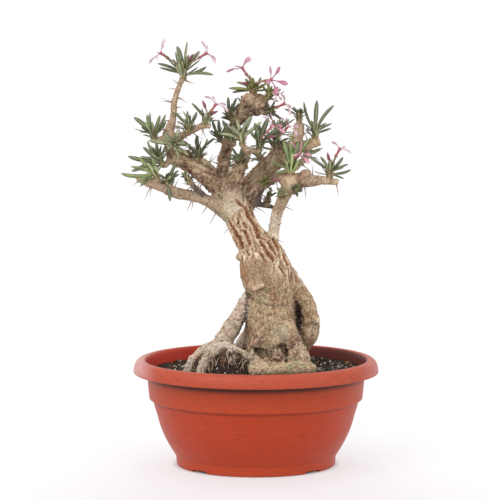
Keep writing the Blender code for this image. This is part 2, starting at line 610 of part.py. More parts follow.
def arc_points(start, direction, towards, length, bend, shares):
    """Points along an arc that starts in one direction and turns by an angle towards another one."""
    across = (towards - direction * towards.dot(direction)).normalized()
    points = []
    for share in shares:
        angle = bend * share
        reach = length * share
        if abs(bend) < 1e-4:
            points.append(start + direction * reach)
            continue
        radius = length / bend
        points.append(start + direction * radius * math.sin(angle) + across * radius * (1 - math.cos(angle)))
    return points


def blade(points, halves, up, keel):
    """A thin blade along points: three-cornered sections with the keel below, and one point at the tip."""
    corners, faces = [], []
    for i, point in enumerate(points[:-1]):
        along = (points[i + 1] - points[max(i - 1, 0)]).normalized()
        side = along.cross(up).normalized()
        below = along.cross(side).normalized()
        half = halves[i]
        corners += [point - side * half, point + side * half, point + below * keel]
    tip = len(corners)
    corners.append(points[-1])
    rings = len(points) - 1
    faces.append((2, 1, 0))
    for ring in range(rings - 1):
        for k in range(3):
            a, b = ring * 3 + k, ring * 3 + (k + 1) % 3
            faces += [(a, b, b + 3), (a, b + 3, a + 3)]
    last = (rings - 1) * 3
    faces += [(last + k, last + (k + 1) % 3, tip) for k in range(3)]
    return corners, faces


def leaf(start, direction, axis, length, bend, roll, grow=0.0):
    """One narrow leaf, whose tip bends away from the shoot's axis. grow swells it, to test what is near."""
    half = min(max(LEAF_WIDTH * length, LEAF_HALF[0]), LEAF_HALF[1])
    shares = (0, 0.66, 1) if length < SHORT_LEAF else (0, 0.45, 0.86, 1)
    widths = [0.28 * half + grow] + [0.9 * half + grow] * (len(shares) - 2)
    points = arc_points(start, direction, -axis, length + grow, bend, shares)
    up = (axis - direction * axis.dot(direction)).normalized()
    up.rotate(Matrix.Rotation(roll, 3, direction))
    return mesh_from(*blade(points, widths, up, LEAF_KEEL + 2 * grow), "leaf")


def shoot_core(name, seat, direction, where):
    shape = bmesh.new()
    bmesh.ops.create_cone(shape, cap_ends=True, segments=CORE_SIDES, radius1=CORE_RADIUS, radius2=CORE_TOP,
                          depth=CORE_LENGTH)
    turn = direction.to_track_quat("Z", "Y").to_matrix().to_4x4()
    middle = seat + direction * (GAP + CORE_LENGTH / 2)
    bmesh.ops.transform(shape, matrix=Matrix.Translation(middle) @ turn, verts=shape.verts)
    return solid(shape, name, where)


def seen_direction(angle, forward):
    """A direction from its angle from straight up, seen from the front, and its lean to the front."""
    a, f = math.radians(angle), math.radians(forward)
    return Vector((math.sin(a) * math.cos(f), -math.sin(f), math.cos(a) * math.cos(f)))


def facing_roll(direction, axis, amount):
    """The roll that turns a leaf's upper face towards the front by this many degrees."""
    up = axis - direction * axis.dot(direction)
    front = -Vector((0, 1, 0))
    return math.radians(amount) * (1 if direction.dot(up.cross(front)) > 0 else -1)


def leaf_wishes(shoot, number):
    """(share of the core's height, direction, length, roll) of each leaf with nothing in its way."""
    _, axis, length, by_rule, placed = shoot
    axis = Vector(axis).normalized()
    wishes = []
    for angle, forward, long in placed:
        direction = seen_direction(angle, forward)
        share = max(0, 1 - math.degrees(axis.angle(direction)) / 95)
        wishes.append((0.12 + 0.7 * share, direction, long * MM, facing_roll(direction, axis, 32)))
    side = axis.orthogonal().normalized()
    for i in range(by_rule):
        share = (i + 0.5) / by_rule
        tilt = math.radians(74 - 48 * share)
        out = side.copy()
        out.rotate(Matrix.Rotation(i * GOLDEN_ANGLE + number * 1.3, 3, axis))
        direction = axis * math.cos(tilt) + out * math.sin(tilt)
        roll = math.radians(25) * math.sin(4.3 * i + number)
        long = length * MM * (0.85 + 0.2 * math.sin(2.1 * i + number))
        wishes.append((0.18 + 0.6 * share, direction, long, roll))
    return wishes


def tries():
    """Small changes of (turn, tilt, length) to try for a leaf that something blocks, the smallest first."""
    found = [(turn, tilt, scale) for turn in (0, 12, -12, 24, -24, 40, -40) for tilt in (0, -12, 12, -24, 24)
             for scale in (1, 0.8, 0.62)]
    return sorted(found, key=lambda c: abs(c[0]) + abs(c[1]) + 60 * (1 - c[2]))


def clear_leaves(node, shoot, number, placed):
    """The leaves of a shoot as (start, direction, length, bend, roll), each bent clear of what is there."""
    seat, axis = seat_of(shoot)
    kept = []
    for height, wish, length, roll in leaf_wishes(shoot, number):
        across = axis.cross(wish)
        across = across.normalized() if across.length > 0.05 else axis.orthogonal().normalized()
        for turn, tilt, scale in tries():
            direction = wish.copy()
            direction.rotate(Matrix.Rotation(math.radians(tilt), 3, across))
            direction.rotate(Matrix.Rotation(math.radians(turn), 3, axis))
            if direction.dot(axis) < -0.35:
                continue
            out = (direction - axis * axis.dot(direction)).normalized()
            upright = abs(direction.dot(axis))
            off_axis = ROOT_OUT[0] + (ROOT_OUT[1] - ROOT_OUT[0]) * upright
            start = seat + axis * (GAP + CORE_LENGTH * height) + out * off_axis
            bend = 0.35 + 0.25 * math.sin(3.7 * len(kept) + number)
            past_root = start + direction * ROOT_LENGTH
            free = leaf(past_root, direction, axis, length * scale - ROOT_LENGTH, bend, roll, LEAF_GAP)
            whole = leaf(start, direction, axis, length * scale, bend, roll)
            if not placed.hits(free) and not placed.hits(whole, skip=(node, node + "_leaf")):
                kept.append((start, direction, length * scale, bend, roll))
                placed.add(whole, node + "_leaf")
                break
    return kept


def make_shoot(name, shoot, number, placed, where, repeats):
    """A leafy shoot: a short green stem on its seat with its leaves, as one body."""
    node = "shoot_" + name
    seat, axis = seat_of(shoot)
    core = shoot_core(node, seat, axis, where)
    placed.add(core.data, node)
    leaves = clear_leaves(node, shoot, number, placed)
    for attempt in range(8):  # a root that only grazes the stem is sunk a little deeper
        for start, direction, length, bend, roll in leaves:
            sunk = start - direction * ROOT_SINK * attempt
            mesh_object("leaf", leaf(sunk, direction, axis, length, bend, roll), repeats)
        made = boolean(core, repeats, "UNION")
        if is_one_body(made.data):
            return made
        bpy.data.objects.remove(made, do_unlink=True)
        core = shoot_core(node, seat, axis, where)
    raise ValueError(node + " is not one body")


def lofted(rings, sides):
    """A closed round piece through rings of (centre, direction, radius)."""
    points, faces = [], []
    for centre, direction, radius in rings:
        side = direction.orthogonal().normalized()
        for k in range(sides):
            out = side.copy()
            out.rotate(Matrix.Rotation(math.tau * k / sides, 3, direction))
            points.append(centre + out * radius)
    faces.append(tuple(reversed(range(sides))))
    for ring in range(len(rings) - 1):
        for k in range(sides):
            a, b = ring * sides + k, ring * sides + (k + 1) % sides
            faces += [(a, b, b + sides), (a, b + sides, a + sides)]
    last = (len(rings) - 1) * sides
    faces.append(tuple(last + k for k in range(sides)))
    return mesh_from(points, faces, "loft")


def flower_pieces(kind, start, direction, length, turn):
    """The meshes of one flower or bud: stalk with its tube or bud, and the petals round its throat."""
    tip = start + direction * length
    if kind == "bud":
        spindle = [(start, STALK_RADIUS), (tip - direction * BUD_LENGTH, STALK_RADIUS),
                   (tip - direction * BUD_LENGTH * 0.45, BUD_RADIUS), (tip, 0.35 * MM)]
        return [lofted([(centre, direction, radius) for centre, radius in spindle], 4)]
    rings = [(start, STALK_RADIUS), (tip - direction * TUBE_LENGTH, STALK_RADIUS), (tip, THROAT_RADIUS)]
    pieces = [lofted([(centre, direction, radius) for centre, radius in rings], 5)]
    side = direction.orthogonal().normalized()
    for k in range(PETALS):
        out = side.copy()
        out.rotate(Matrix.Rotation(math.tau * k / PETALS + math.radians(turn), 3, direction))
        petal_start = tip - direction * 1.2 * MM + out * 1.1 * MM
        lean = (out * 0.85 + direction * 0.55).normalized()
        points = arc_points(petal_start, lean, -direction, PETAL_LENGTH, 0.7 + 0.2 * math.sin(2.3 * k + turn),
                            (0, 0.68, 1))
        halves = [0.5 * MM, PETAL_HALF]
        pieces.append(mesh_from(*blade(points, halves, direction, PETAL_KEEL), "petal"))
    return pieces


def clear_flower(foot, flower, placed, node):
    """The meshes of a flower or bud, turned as little as needed to stand clear of what is there."""
    kind, angle, forward, length, turn = flower
    changes = [(across, ahead) for across in range(-42, 43, 6) for ahead in range(-32, 33, 8)]
    for across, ahead in sorted(changes, key=lambda c: abs(c[0]) + abs(c[1])):
        pieces = flower_pieces(kind, foot, seen_direction(angle + across, forward + ahead), length * MM, turn)
        if not any(placed.hits(piece, skip=(node,)) for piece in pieces):
            return pieces
    raise ValueError("no room for a flower of " + node)


def make_spray(name, flowers, placed, where, repeats):
    """Flowers and buds on one short stalk, which stands on the top of its shoot."""
    node = "spray_" + name
    seat, axis = seat_of(SHOOTS[name])
    foot = seat + axis * (CORE_LENGTH + 2 * GAP)
    rings = [(foot, axis, 1.3 * MM), (foot + axis * 4 * MM, axis, 1 * MM)]
    stalk = mesh_object(node, lofted(rings, 6), where)
    for flower in flowers:
        for piece in clear_flower(foot + axis * 2.4 * MM, flower, placed, node):
            mesh_object("piece", piece, repeats)
    spray = boolean(stalk, repeats, "UNION")
    if not is_one_body(spray.data):
        raise ValueError(node + " is not one body")
    placed.add(spray.data, node)
    return spray


def finish(obj, name, angle=40):
    obj.data.materials.clear()
    obj.data.materials.append(material(name))
    obj.data.shade_smooth()
    obj.data.set_sharp_from_angle(angle=math.radians(angle))


def main():
    clear_scene()
    plant = collection("potted_pachypodium")
    cutters = collection("cutters")
    finish(make_pot(plant, cutters), "pot")
    finish(make_soil(plant, cutters), "soil")
    wood = make_wood(plant, cutters)
    finish(wood, "wood")
    placed = Clearance()
    placed.add(wood.data, "wood")
    for name, flowers in SPRAYS.items():
        finish(make_spray(name, flowers, placed, plant, cutters), "flower")
    for number, (name, shoot) in enumerate(SHOOTS.items()):
        finish(make_shoot(name, shoot, number, placed, plant, cutters), "leaf")
    bpy.data.collections.remove(cutters)


main()
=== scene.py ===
import math
import random

import bmesh
import bpy
import numpy as np
from mathutils import Matrix, Vector, noise


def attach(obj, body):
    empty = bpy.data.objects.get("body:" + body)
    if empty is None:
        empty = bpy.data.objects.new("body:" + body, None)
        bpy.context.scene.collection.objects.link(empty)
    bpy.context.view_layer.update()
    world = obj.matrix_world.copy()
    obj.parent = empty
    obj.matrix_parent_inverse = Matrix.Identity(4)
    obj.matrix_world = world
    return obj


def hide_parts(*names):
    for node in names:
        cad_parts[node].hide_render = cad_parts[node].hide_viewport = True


# A potted pachypodium. Metres, +Z up, the front is -Y. Plans are in millimetres unless they say otherwise.
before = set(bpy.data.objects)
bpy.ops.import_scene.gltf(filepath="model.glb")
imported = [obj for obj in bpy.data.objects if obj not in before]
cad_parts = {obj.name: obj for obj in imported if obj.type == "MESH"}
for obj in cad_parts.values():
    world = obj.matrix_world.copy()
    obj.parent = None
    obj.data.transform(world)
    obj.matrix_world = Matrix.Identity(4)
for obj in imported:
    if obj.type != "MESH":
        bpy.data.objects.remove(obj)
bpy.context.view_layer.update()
mm = 0.001
goldenAngle = math.radians(137.508)
print("frame:", len(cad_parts), "nodes")

# Camera, floor and light
cameraPlan = {
    "target": (-7.3, 0, 263.6),  # the point in the middle of the picture
    "distance": 3417.4,
    "lookDown": 5.76,  # degrees
    "lens": 201.6,
    "sensor": 36,
    "farEnd": 400,  # metres
}
studioPlan = {
    "floorSize": 160,  # metres
    "floorTint": (0.3, 0.294, 0.3),
    "floorGlow": 0.62,  # painted light: the floor glows, so shadows on it stay faint
    "glowReach": 400,  # the places of the two lists below are shares of this
    "underPot": [(0.22, 0.0), (0.26, 1.0)],  # no glow under the pot
    # the glow dims and turns pink near the spot in front of the pot: painted shade and a painted pink reflection of
    # the pot
    "inFront": [(0.0, (0.8, 0.75, 0.76)), (0.5, (0.84, 0.79, 0.8)), (1.0, (1, 0.985, 0.99))],
    "frontSpot": (0, -350, 0),
    "world": 0.965,
    "worldTint": (1, 0.995, 1),
    "sun": 0.8,
    "sunSoftness": 80,  # degrees
    "sunTurn": (30, 0, -18),
    "lamps": [((-1.2, -1.6, 1.7), 1.6, 17), ((1.6, -1.0, 1.2), 2.2, 6)],  # place, size, watts
    "lampAim": (0, 0, 0.28),  # metres
}


def makeCamera(plan):
    down = math.radians(plan["lookDown"])
    data = bpy.data.cameras.new("studioCamera")
    data.lens, data.sensor_width, data.clip_end = plan["lens"], plan["sensor"], plan["farEnd"]
    camera = addObject("studioCamera", data)
    away = Vector((0, -math.cos(down), math.sin(down)))
    camera.location = (Vector(plan["target"]) + away * plan["distance"]) * mm
    camera.rotation_euler = (math.pi / 2 - down, 0, 0)
    bpy.context.scene.camera = camera


def makeStudio(plan):
    world = bpy.data.worlds.new("paleStudio")
    world.use_nodes = True
    background = world.node_tree.nodes["Background"]
    background.inputs["Color"].default_value = (*plan["worldTint"], 1)
    background.inputs["Strength"].default_value = plan["world"]
    bpy.context.scene.world = world
    bpy.context.scene.view_settings.view_transform = "Standard"
    sun = bpy.data.lights.new("softSun", "SUN")
    sun.energy, sun.angle = plan["sun"], math.radians(plan["sunSoftness"])
    addObject("softSun", sun).rotation_euler = [math.radians(a) for a in plan["sunTurn"]]
    for k, (place, size, watts) in enumerate(plan["lamps"]):
        lamp = bpy.data.lights.new(f"softBox{k}", "AREA")
        lamp.shape, lamp.size, lamp.energy = "DISK", size, watts
        box = addObject(f"softBox{k}", lamp)
        box.location = place
        box.rotation_euler = (Vector(plan["lampAim"]) - Vector(place)).to_track_quat("-Z", "Y").to_euler()
    shape = bmesh.new()
    bmesh.ops.create_grid(shape, x_segments=8, y_segments=8, size=plan["floorSize"] / 2)
    floor = objectFrom(shape, "floor")
    material, tree, shader = newFinish("floorPaper", plan["floorTint"], 0.85)
    # painted light: the floor glows, not at all under the pot, and dimmer and pinker in front of it
    reach = plan["glowReach"]
    glows = []
    for centre, stops in (((0, 0, 0), plan["underPot"]), (plan["frontSpot"], plan["inFront"])):
        ends = {0: placeOf(tree, [1 / reach] * 3), 1: [c / reach for c in centre]}
        away = nodeOf(tree, "VectorMath", ends, operation="DISTANCE")
        glows.append(rampOf(tree, away.outputs["Value"], stops))
    tree.links.new(mixOf(tree, 1.0, *glows, how="MULTIPLY"), shader.inputs["Emission Color"])
    shader.inputs["Emission Strength"].default_value = plan["floorGlow"]
    floor.data.materials.append(material)


# Small helpers for meshes and materials
def addObject(name, data):
    made = bpy.data.objects.new(name, data)
    bpy.context.scene.collection.objects.link(made)
    return made


def objectFrom(shape, name):
    mesh = bpy.data.meshes.new(name)
    shape.to_mesh(mesh)
    shape.free()
    return addObject(name, mesh)


def meshFrom(points, faces, name):
    mesh = bpy.data.meshes.new(name)
    mesh.from_pydata([tuple(p) for p in points], [], faces)
    return addObject(name, mesh)


def paintedPiece(build, name, paintName):  # a smooth piece from its points, faces and colours
    points, faces, colours = build
    piece = meshFrom(points, faces, name)
    pointColours(piece, paintName, np.array(colours, np.float32))
    piece.data.shade_smooth()
    return piece


def nodeName(kind, name):  # shoot and topLeft give shoot_top_left
    return kind + "_" + "".join("_" + c.lower() if c.isupper() else c for c in name)


def baked(piece):  # the piece with its modifiers applied
    bpy.context.view_layer.update()
    graph = bpy.context.evaluated_depsgraph_get()
    mesh = bpy.data.meshes.new_from_object(piece.evaluated_get(graph))
    old = piece.data
    piece.modifiers.clear()
    piece.data = mesh
    bpy.data.meshes.remove(old)
    return piece


def pointColours(piece, name, values):  # one colour per vertex, as rows of r, g, b
    rows = np.ones((len(piece.data.vertices), 4), np.float32)
    rows[:, :3] = values
    layer = piece.data.color_attributes.new(name, "FLOAT_COLOR", "POINT")
    layer.data.foreach_set("color", rows.ravel())


def tint(r, g, b):  # a colour as it looks on screen, 0 to 255
    return tuple((c / 255 / 12.92) if c < 10.3 else ((c / 255 + 0.055) / 1.055) ** 2.4 for c in (r, g, b))


def settle(piece, slotName, *nodes):  # every piece rides on the one body
    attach(piece, "root")
    if nodes:
        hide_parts(*nodes)


def newFinish(name, colour, roughness):
    material = bpy.data.materials.new(name)
    material.use_nodes = True
    shader = material.node_tree.nodes["Principled BSDF"]
    shader.inputs["Base Color"].default_value = (*colour, 1)
    shader.inputs["Roughness"].default_value = roughness
    return material, material.node_tree, shader


def nodeOf(tree, kind, inputs=None, **settings):  # a node, with a value or a link for each input named
    made = tree.nodes.new("ShaderNode" + kind)
    for name, setting in settings.items():
        setattr(made, name, setting)
    for key, value in (inputs or {}).items():
        socket = made.inputs[key]
        if isinstance(value, bpy.types.NodeSocket):
            tree.links.new(value, socket)
        else:
            socket.default_value = (*value, 1) if socket.type == "RGBA" else value
    return made


def placeOf(tree, scale=(1, 1, 1)):  # object coordinates in millimetres, times scale
    where = nodeOf(tree, "TexCoord").outputs["Object"]
    return nodeOf(tree, "Mapping", {"Vector": where, "Scale": [1000 * s for s in scale]}).outputs["Vector"]


def noiseOf(tree, where, scale, detail=3, roughness=0.6, warp=0):
    return nodeOf(tree, "TexNoise", {"Vector": where, "Scale": scale, "Detail": detail, "Roughness": roughness,
                                     "Distortion": warp}).outputs["Fac"]


def rampOf(tree, factor, stops):  # stops are (place, colour) or (place, grey)
    made = nodeOf(tree, "ValToRGB", {"Fac": factor})
    elements = made.color_ramp.elements
    for k, (place, colour) in enumerate(stops):
        element = elements[k] if k < 2 else elements.new(place)
        element.position = place
        element.color = (*colour, 1) if isinstance(colour, tuple) else (colour, colour, colour, 1)
    return made.outputs["Color"]


def mixOf(tree, factor, first, second, how="MIX"):
    return nodeOf(tree, "Mix", {0: factor, 6: first, 7: second}, data_type="RGBA", blend_type=how,
                  clamp_factor=True).outputs[2]


def sumOf(tree, first, second, how="ADD"):
    return nodeOf(tree, "Math", {0: first, 1: second}, operation=how).outputs[0]


def paintOf(tree, name):  # a colour attribute of the mesh
    return nodeOf(tree, "Attribute", attribute_name=name).outputs["Color"]


def partsOf(tree, colour):
    return nodeOf(tree, "SeparateColor", {0: colour}).outputs


def bumpOf(tree, shader, height, depth, strength=1.0):  # depth in millimetres
    made = nodeOf(tree, "Bump", {"Height": height, "Distance": depth * mm, "Strength": strength})
    tree.links.new(made.outputs["Normal"], shader.inputs["Normal"])


def finishWith(tree, shader, base, gloss=0.5, rough=None):  # gloss is the specular level
    tree.links.new(base, shader.inputs["Base Color"])
    shader.inputs["Specular IOR Level"].default_value = gloss
    if rough is not None:
        tree.links.new(rough, shader.inputs["Roughness"])


def speckledFinish(name, colour, roughness, size, stops, depth, strength=0.5, detail=3, fineness=0.6):
    material, tree, shader = newFinish(name, colour, roughness)
    grain = noiseOf(tree, placeOf(tree), size, detail, fineness)
    finishWith(tree, shader, rampOf(tree, grain, stops))
    bumpOf(tree, shader, grain, depth, strength)
    return material


def smoothStep(low, high, value):
    t = np.clip((np.asarray(value, float) - low) / (high - low), 0, 1)
    return t * t * (3 - 2 * t)


def cellDraw(cells, seed):  # a steady draw from 0 to 1 for each whole-number cell
    n = (cells[:, 0] * 73856093) ^ (cells[:, 1] * 19349663) ^ (cells[:, 2] * 83492791) ^ (seed * 2654435761)
    n = ((n ^ (n >> 13)) * 1274126177) & 0x7fffffff
    return ((n ^ (n >> 15)) & 0xfffff) / 0xfffff


def softNoise(rows, seed=0):  # smooth noise at each row, about -1 to 1
    cells = np.floor(rows).astype(np.int64)
    part = rows - cells
    ease = part ** 3 * (part * (part * 6 - 15) + 10)
    total = np.zeros(len(rows))
    for corner in ((i, j, k) for i in (0, 1) for j in (0, 1) for k in (0, 1)):
        weight = np.ones(len(rows))
        lean = np.zeros(len(rows))
        for axis, on in enumerate(corner):
            weight *= ease[:, axis] if on else 1 - ease[:, axis]
            lean += (cellDraw(cells + corner, seed + 31 * axis) * 2 - 1) * (part[:, axis] - on)
        total += weight * lean
    return total * 1.5


def layered(rows, layers, seed=0):
    return sum(softNoise(rows * 2.03 ** k + 5.7 * k, seed + k) * 0.55 ** k for k in range(layers))


def cellField(rows, seed=0):  # distance to the nearest and the next scattered spot, and the nearest one's draw
    cells = np.floor(rows).astype(np.int64)
    near, after, draw = np.full(len(rows), 9.0), np.full(len(rows), 9.0), np.zeros(len(rows))
    for step in ((i, j, k) for i in (-1, 0, 1) for j in (-1, 0, 1) for k in (-1, 0, 1)):
        other = cells + step
        spot = np.stack([other[:, n] + 0.5 + 0.7 * (cellDraw(other, seed + 7 * n) - 0.5) for n in range(3)], 1)
        away = np.linalg.norm(rows - spot, axis=1)
        closer = away < near
        after = np.where(closer, near, np.minimum(after, away))
        draw = np.where(closer, cellDraw(other, seed + 99), draw)
        near = np.where(closer, away, near)
    return near, after, draw


def shade(first, second, share):  # between two screen colours, or a row of colours and one
    first = np.array(tint(*first)) if isinstance(first, tuple) else first
    second = np.array(tint(*second)) if isinstance(second, tuple) else second
    return first + (second - first) * np.clip(share, 0, 1)[:, None]


def coats(colour, *layers):  # coats of paint over a row of colours, each a colour and its share
    for paint, share in layers:
        colour = shade(colour, paint, share)
    return colour


def turned(way, angle, axis):  # the way, turned about the axis
    way = way.copy()
    way.rotate(Matrix.Rotation(angle, 3, axis))
    return way


def ringInto(points, r, z, count, offset=0.0):  # adds a level ring of points, all in millimetres
    for k in range(count):
        angle = math.tau * (k + offset) / count
        points.append((r * math.cos(angle) * mm, r * math.sin(angle) * mm, z * mm))


def bandInto(faces, low, high, count, upFirst=False):  # adds a closed band of faces between two rings of points
    for k in range(count):
        after = (k + 1) % count
        faces.append((low + k, high + k, high + after, low + after) if upFirst
                     else (low + k, low + after, high + after, high + k))


def skinInto(faces, start, rings, count):  # adds the bands between rings of points, and a cap at both ends
    for ring in range(rings - 1):
        bandInto(faces, start + ring * count, start + (ring + 1) * count, count)
    faces.append(tuple(reversed(range(start, start + count))))
    faces.append(tuple(range(start + (rings - 1) * count, start + rings * count)))


def tubeInto(points, faces, path, sides):  # adds a closed tube through rows of x, y, z, radius
    middle = [Vector(row[:3]) for row in path]
    start, out = len(points), None
    for k, row in enumerate(path):
        along = (middle[min(k + 1, len(path) - 1)] - middle[max(k - 1, 0)]).normalized()
        out = (along.orthogonal() if out is None else out - along * out.dot(along)).normalized()
        side = along.cross(out)
        for n in range(sides):
            turn = math.tau * n / sides
            points.append((middle[k] + (out * math.cos(turn) + side * math.sin(turn)) * row[3]) * mm)
    skinInto(faces, start, len(path), sides)


makeCamera(cameraPlan)
makeStudio(studioPlan)
print("camera and studio")

# Pot: a turned bowl with a rolled rim, a stepped band and a foot ring
potPlan = {
    "around": 240,
    "inside": [(0, 8), (88, 8), (95, 9), (101, 20), (107.1, 32.5), (114.2, 49), (118.6, 64.5), (123.3, 80.7)],
    "insideBand": [(126.6, 82.4), (131.2, 104), (134.6, 124)],
    "rim": [(135.3, 127.8), (136.5, 129.4), (138.6, 130), (141.4, 130), (144.3, 129), (147.2, 126.2),
            (149.1, 121.4), (149.9, 116.6), (150, 114.6), (149.3, 113.7), (148.2, 113.7), (147.4, 114.6),
            (146.8, 118), (145.2, 122), (142, 124.8), (138.6, 125.2), (135.8, 123.4), (134.3, 120.6)],
    "band": [(133.9, 117), (132.6, 102), (131.2, 87), (130.8, 83)],
    "step": [(130.5, 82), (129.6, 81.3), (127.2, 80.4), (126.5, 79.8)],
    "wall": [(126.1, 78.6), (124.2, 71.6), (121.6, 63.5), (117.2, 48), (110.1, 31.5), (101.4, 16.5), (99.3, 13.4)],
    "foot": [(98.7, 12.6), (98.4, 11.8), (98.1, 10.6), (97.5, 3), (97.2, 0.9), (96.2, 0), (91.8, 0), (91, 0.8),
             (91, 5), (0, 5)],
    "notch": (28, 24, 6),  # size each way
    "notchCircle": 94.5,
    "drain": (4.5, 58),  # radius and circle
    "sharpFrom": 38,  # degrees
    "underRim": ((112.5, 125.6), (132.5, 147.5)),  # heights and radii of the hollow under the rim, darkened with painted shade
    "underStep": (77.6, 80.4, 0.28),  # heights, and how dark the painted shade under the step is
    "bandPaintedShade": (102.5, 110.5, 1.3),  # painted shadow of the rim: the band darkens between these heights, with this power
    # a little painted shade over the rest of the rim
    "rimPaintedShade": 0.1,
    # the colour of all the painted shade on the pot
    "paintedShade": tint(44, 11, 6),
    "body": tint(172, 56, 23),
    "fresh": tint(172, 63, 29),
    # the colour of the painted pale reflection on the ends of the rim
    "pale": tint(214, 170, 164),
    "inner": [tint(194, 50, 24), tint(98, 32, 22)],  # at the left and at the right: painted light on the left of the inside wall, painted shade on the right
}


def curvedRun(rows, each):  # a smooth line through the rows
    rows = [rows[0], *rows, rows[-1]]
    line = []
    for a, b, c, d in zip(rows, rows[1:], rows[2:], rows[3:]):
        for k in range(each):
            t = k / each
            line.append(tuple(0.5 * (2 * q + (r - p) * t + (2 * p - 5 * q + 4 * r - s) * t * t
                                     + (3 * q - p - 3 * r + s) * t ** 3) for p, q, r, s in zip(a, b, c, d)))
    return [*line, tuple(rows[-1])]


def makePot(plan):
    line = [plan["inside"][0], (45, 8), *curvedRun(plan["inside"][1:], 4), *curvedRun(plan["insideBand"], 2)]
    line += [*curvedRun(plan["rim"], 3), *curvedRun(plan["band"], 9), *curvedRun(plan["step"], 2)]
    line += [*curvedRun(plan["wall"], 4), *plan["foot"]]
    around, rings = plan["around"], line[1:-1]
    points, faces = [], []
    for ring, (r, z) in enumerate(rings):
        ringInto(points, r, z, around)
        if ring:
            bandInto(faces, ring * around, (ring - 1) * around, around)
    points += [(0, 0, line[0][1] * mm), (0, 0, line[-1][1] * mm)]
    top, under, last = len(points) - 2, len(points) - 1, (len(rings) - 1) * around
    for k in range(around):
        after = (k + 1) % around
        faces += [(top, k, after), (under, last + after, last + k)]
    pot = meshFrom(points, faces, "potBowl")
    tidy = bmesh.new()
    tidy.from_mesh(pot.data)
    bmesh.ops.remove_doubles(tidy, verts=tidy.verts, dist=1e-6)
    bmesh.ops.recalc_face_normals(tidy, faces=tidy.faces)
    tidy.to_mesh(pot.data)
    tidy.free()
    cutShape = bmesh.new()
    radius, out = plan["drain"]
    for quarter in range(4):
        turn = Matrix.Rotation(math.radians(45 + 90 * quarter), 4, "Z")
        place = turn @ Matrix.Translation((plan["notchCircle"] * mm, 0, 0))
        place = place @ Matrix.Diagonal((*(s * mm for s in plan["notch"]), 1))
        bmesh.ops.create_cube(cutShape, size=1, matrix=place)
        angle = math.tau * quarter / 4
        middle = Matrix.Translation((out * mm * math.cos(angle), out * mm * math.sin(angle), 6 * mm))
        bmesh.ops.create_cone(cutShape, cap_ends=True, segments=24, radius1=radius * mm, radius2=radius * mm,
                              depth=12 * mm, matrix=middle)
    cutter = objectFrom(cutShape, "potCuts")
    cut = pot.modifiers.new("cuts", "BOOLEAN")
    cut.object = cutter
    cut.solver = "EXACT"
    baked(pot)
    bpy.data.objects.remove(cutter, do_unlink=True)
    pot.data.shade_smooth()
    pot.data.set_sharp_from_angle(angle=math.radians(plan["sharpFrom"]))
    (low, high), (near, far) = plan["underRim"]
    stepLow, stepHigh, stepPaintedShade = plan["underStep"]
    darkFrom, darkTo, power = plan["bandPaintedShade"]
    paintedLightMarks = []  # inside of the wall, painted shade under the rim, under the step, on the band and over the rim, and a painted pale reflection on the ends of the rim
    for vertex in pot.data.vertices:
        x, y, z = vertex.co / mm
        r = math.hypot(x, y)
        facing = (vertex.normal.x * x + vertex.normal.y * y) / max(r, 1)
        inside = r < 136 and z > 8.5 and facing < -0.1
        paintedShade = 0
        if not inside and low < z < high and near < r < far:
            paintedShade = 1
        elif not inside and z < 121 and r < 134.6:
            paintedShade = stepPaintedShade if stepLow < z < stepHigh else float(smoothStep(darkFrom, darkTo, z)) ** power
        elif not inside:
            paintedShade = plan["rimPaintedShade"]
        # a painted pale reflection on the ends of the rim, strongest at the left
        pale = 0.06 + 0.94 * float(smoothStep(116, 150, -x)) + 0.25 * float(smoothStep(120, 148, x))
        paintedLightMarks.append((float(inside), paintedShade, pale * float(smoothStep(110, 118, z)) * (not inside)))
    pointColours(pot, "potPaintedLight", np.array(paintedLightMarks, np.float32))
    settle(pot, "pot", "pot")
    pot.data.materials.clear()
    pot.data.materials.append(potPlastic(plan))
    return pot


def potPlastic(plan):
    material, tree, shader = newFinish("redBrownPlastic", plan["body"], 0.42)
    lines = noiseOf(tree, placeOf(tree, (0.02, 0.02, 1.6)), 1.0, 3, 0.7)  # fine level lines from the mould
    strokes = noiseOf(tree, placeOf(tree, (0.09, 0.09, 2.4)), 1.0, 2, 0.5)
    mottle = noiseOf(tree, placeOf(tree), 0.035, 5, 0.62)
    dustAndSheen = noiseOf(tree, placeOf(tree, (1, 1, 1.6)), 0.11, 6, 0.7)
    place = nodeOf(tree, "SeparateXYZ", {0: placeOf(tree)})
    base = rampOf(tree, mottle, [(0.3, tuple(0.94 * c for c in plan["body"])), (0.7, plan["body"])])
    fresh = rampOf(tree, sumOf(tree, place.outputs["Z"], 0.0077, "MULTIPLY"),
                   [(0.0, 0.85), (0.1, 0.5), (0.2, 0.0), (0.6, 0.05), (0.63, 0.75), (1.0, 0.9)])
    base = mixOf(tree, partsOf(tree, fresh)[0], base, plan["fresh"])
    paintedLightMarks = partsOf(tree, paintOf(tree, "potPaintedLight"))
    # the painted pale reflection on the rim's ends, broken up by a noise that also sets the roughness
    wearAndSheen = sumOf(tree, paintedLightMarks[2], partsOf(tree, rampOf(tree, dustAndSheen, [(0.3, 0.45), (0.65, 0.9)]))[0], "MULTIPLY")
    base = mixOf(tree, wearAndSheen, base, plan["pale"])
    streak = rampOf(tree, strokes, [(0.34, 0.7), (0.5, 1.0), (0.66, 1.16)])
    base = mixOf(tree, 0.7, base, mixOf(tree, 1.0, base, streak, "MULTIPLY"))
    # painted light and shade inside the wall: lighter towards the left, darker towards the right
    paintedLightLeftward = sumOf(tree, sumOf(tree, place.outputs["X"], -0.0085, "MULTIPLY"), 0.05)
    base = mixOf(tree, paintedLightMarks[0], base, mixOf(tree, paintedLightLeftward, plan["inner"][1], plan["inner"][0]))
    # painted shade under the rim, under the step, at the top of the band and a little over the rim
    base = mixOf(tree, sumOf(tree, paintedLightMarks[1], 0.96, "MULTIPLY"), base, plan["paintedShade"])
    finishWith(tree, shader, base, 0.28, rampOf(tree, dustAndSheen, [(0.35, 0.4), (0.7, 0.52)]))
    bumpOf(tree, shader, sumOf(tree, lines, strokes), 0.12, 0.5)
    return material


makePot(potPlan)
print("pot")

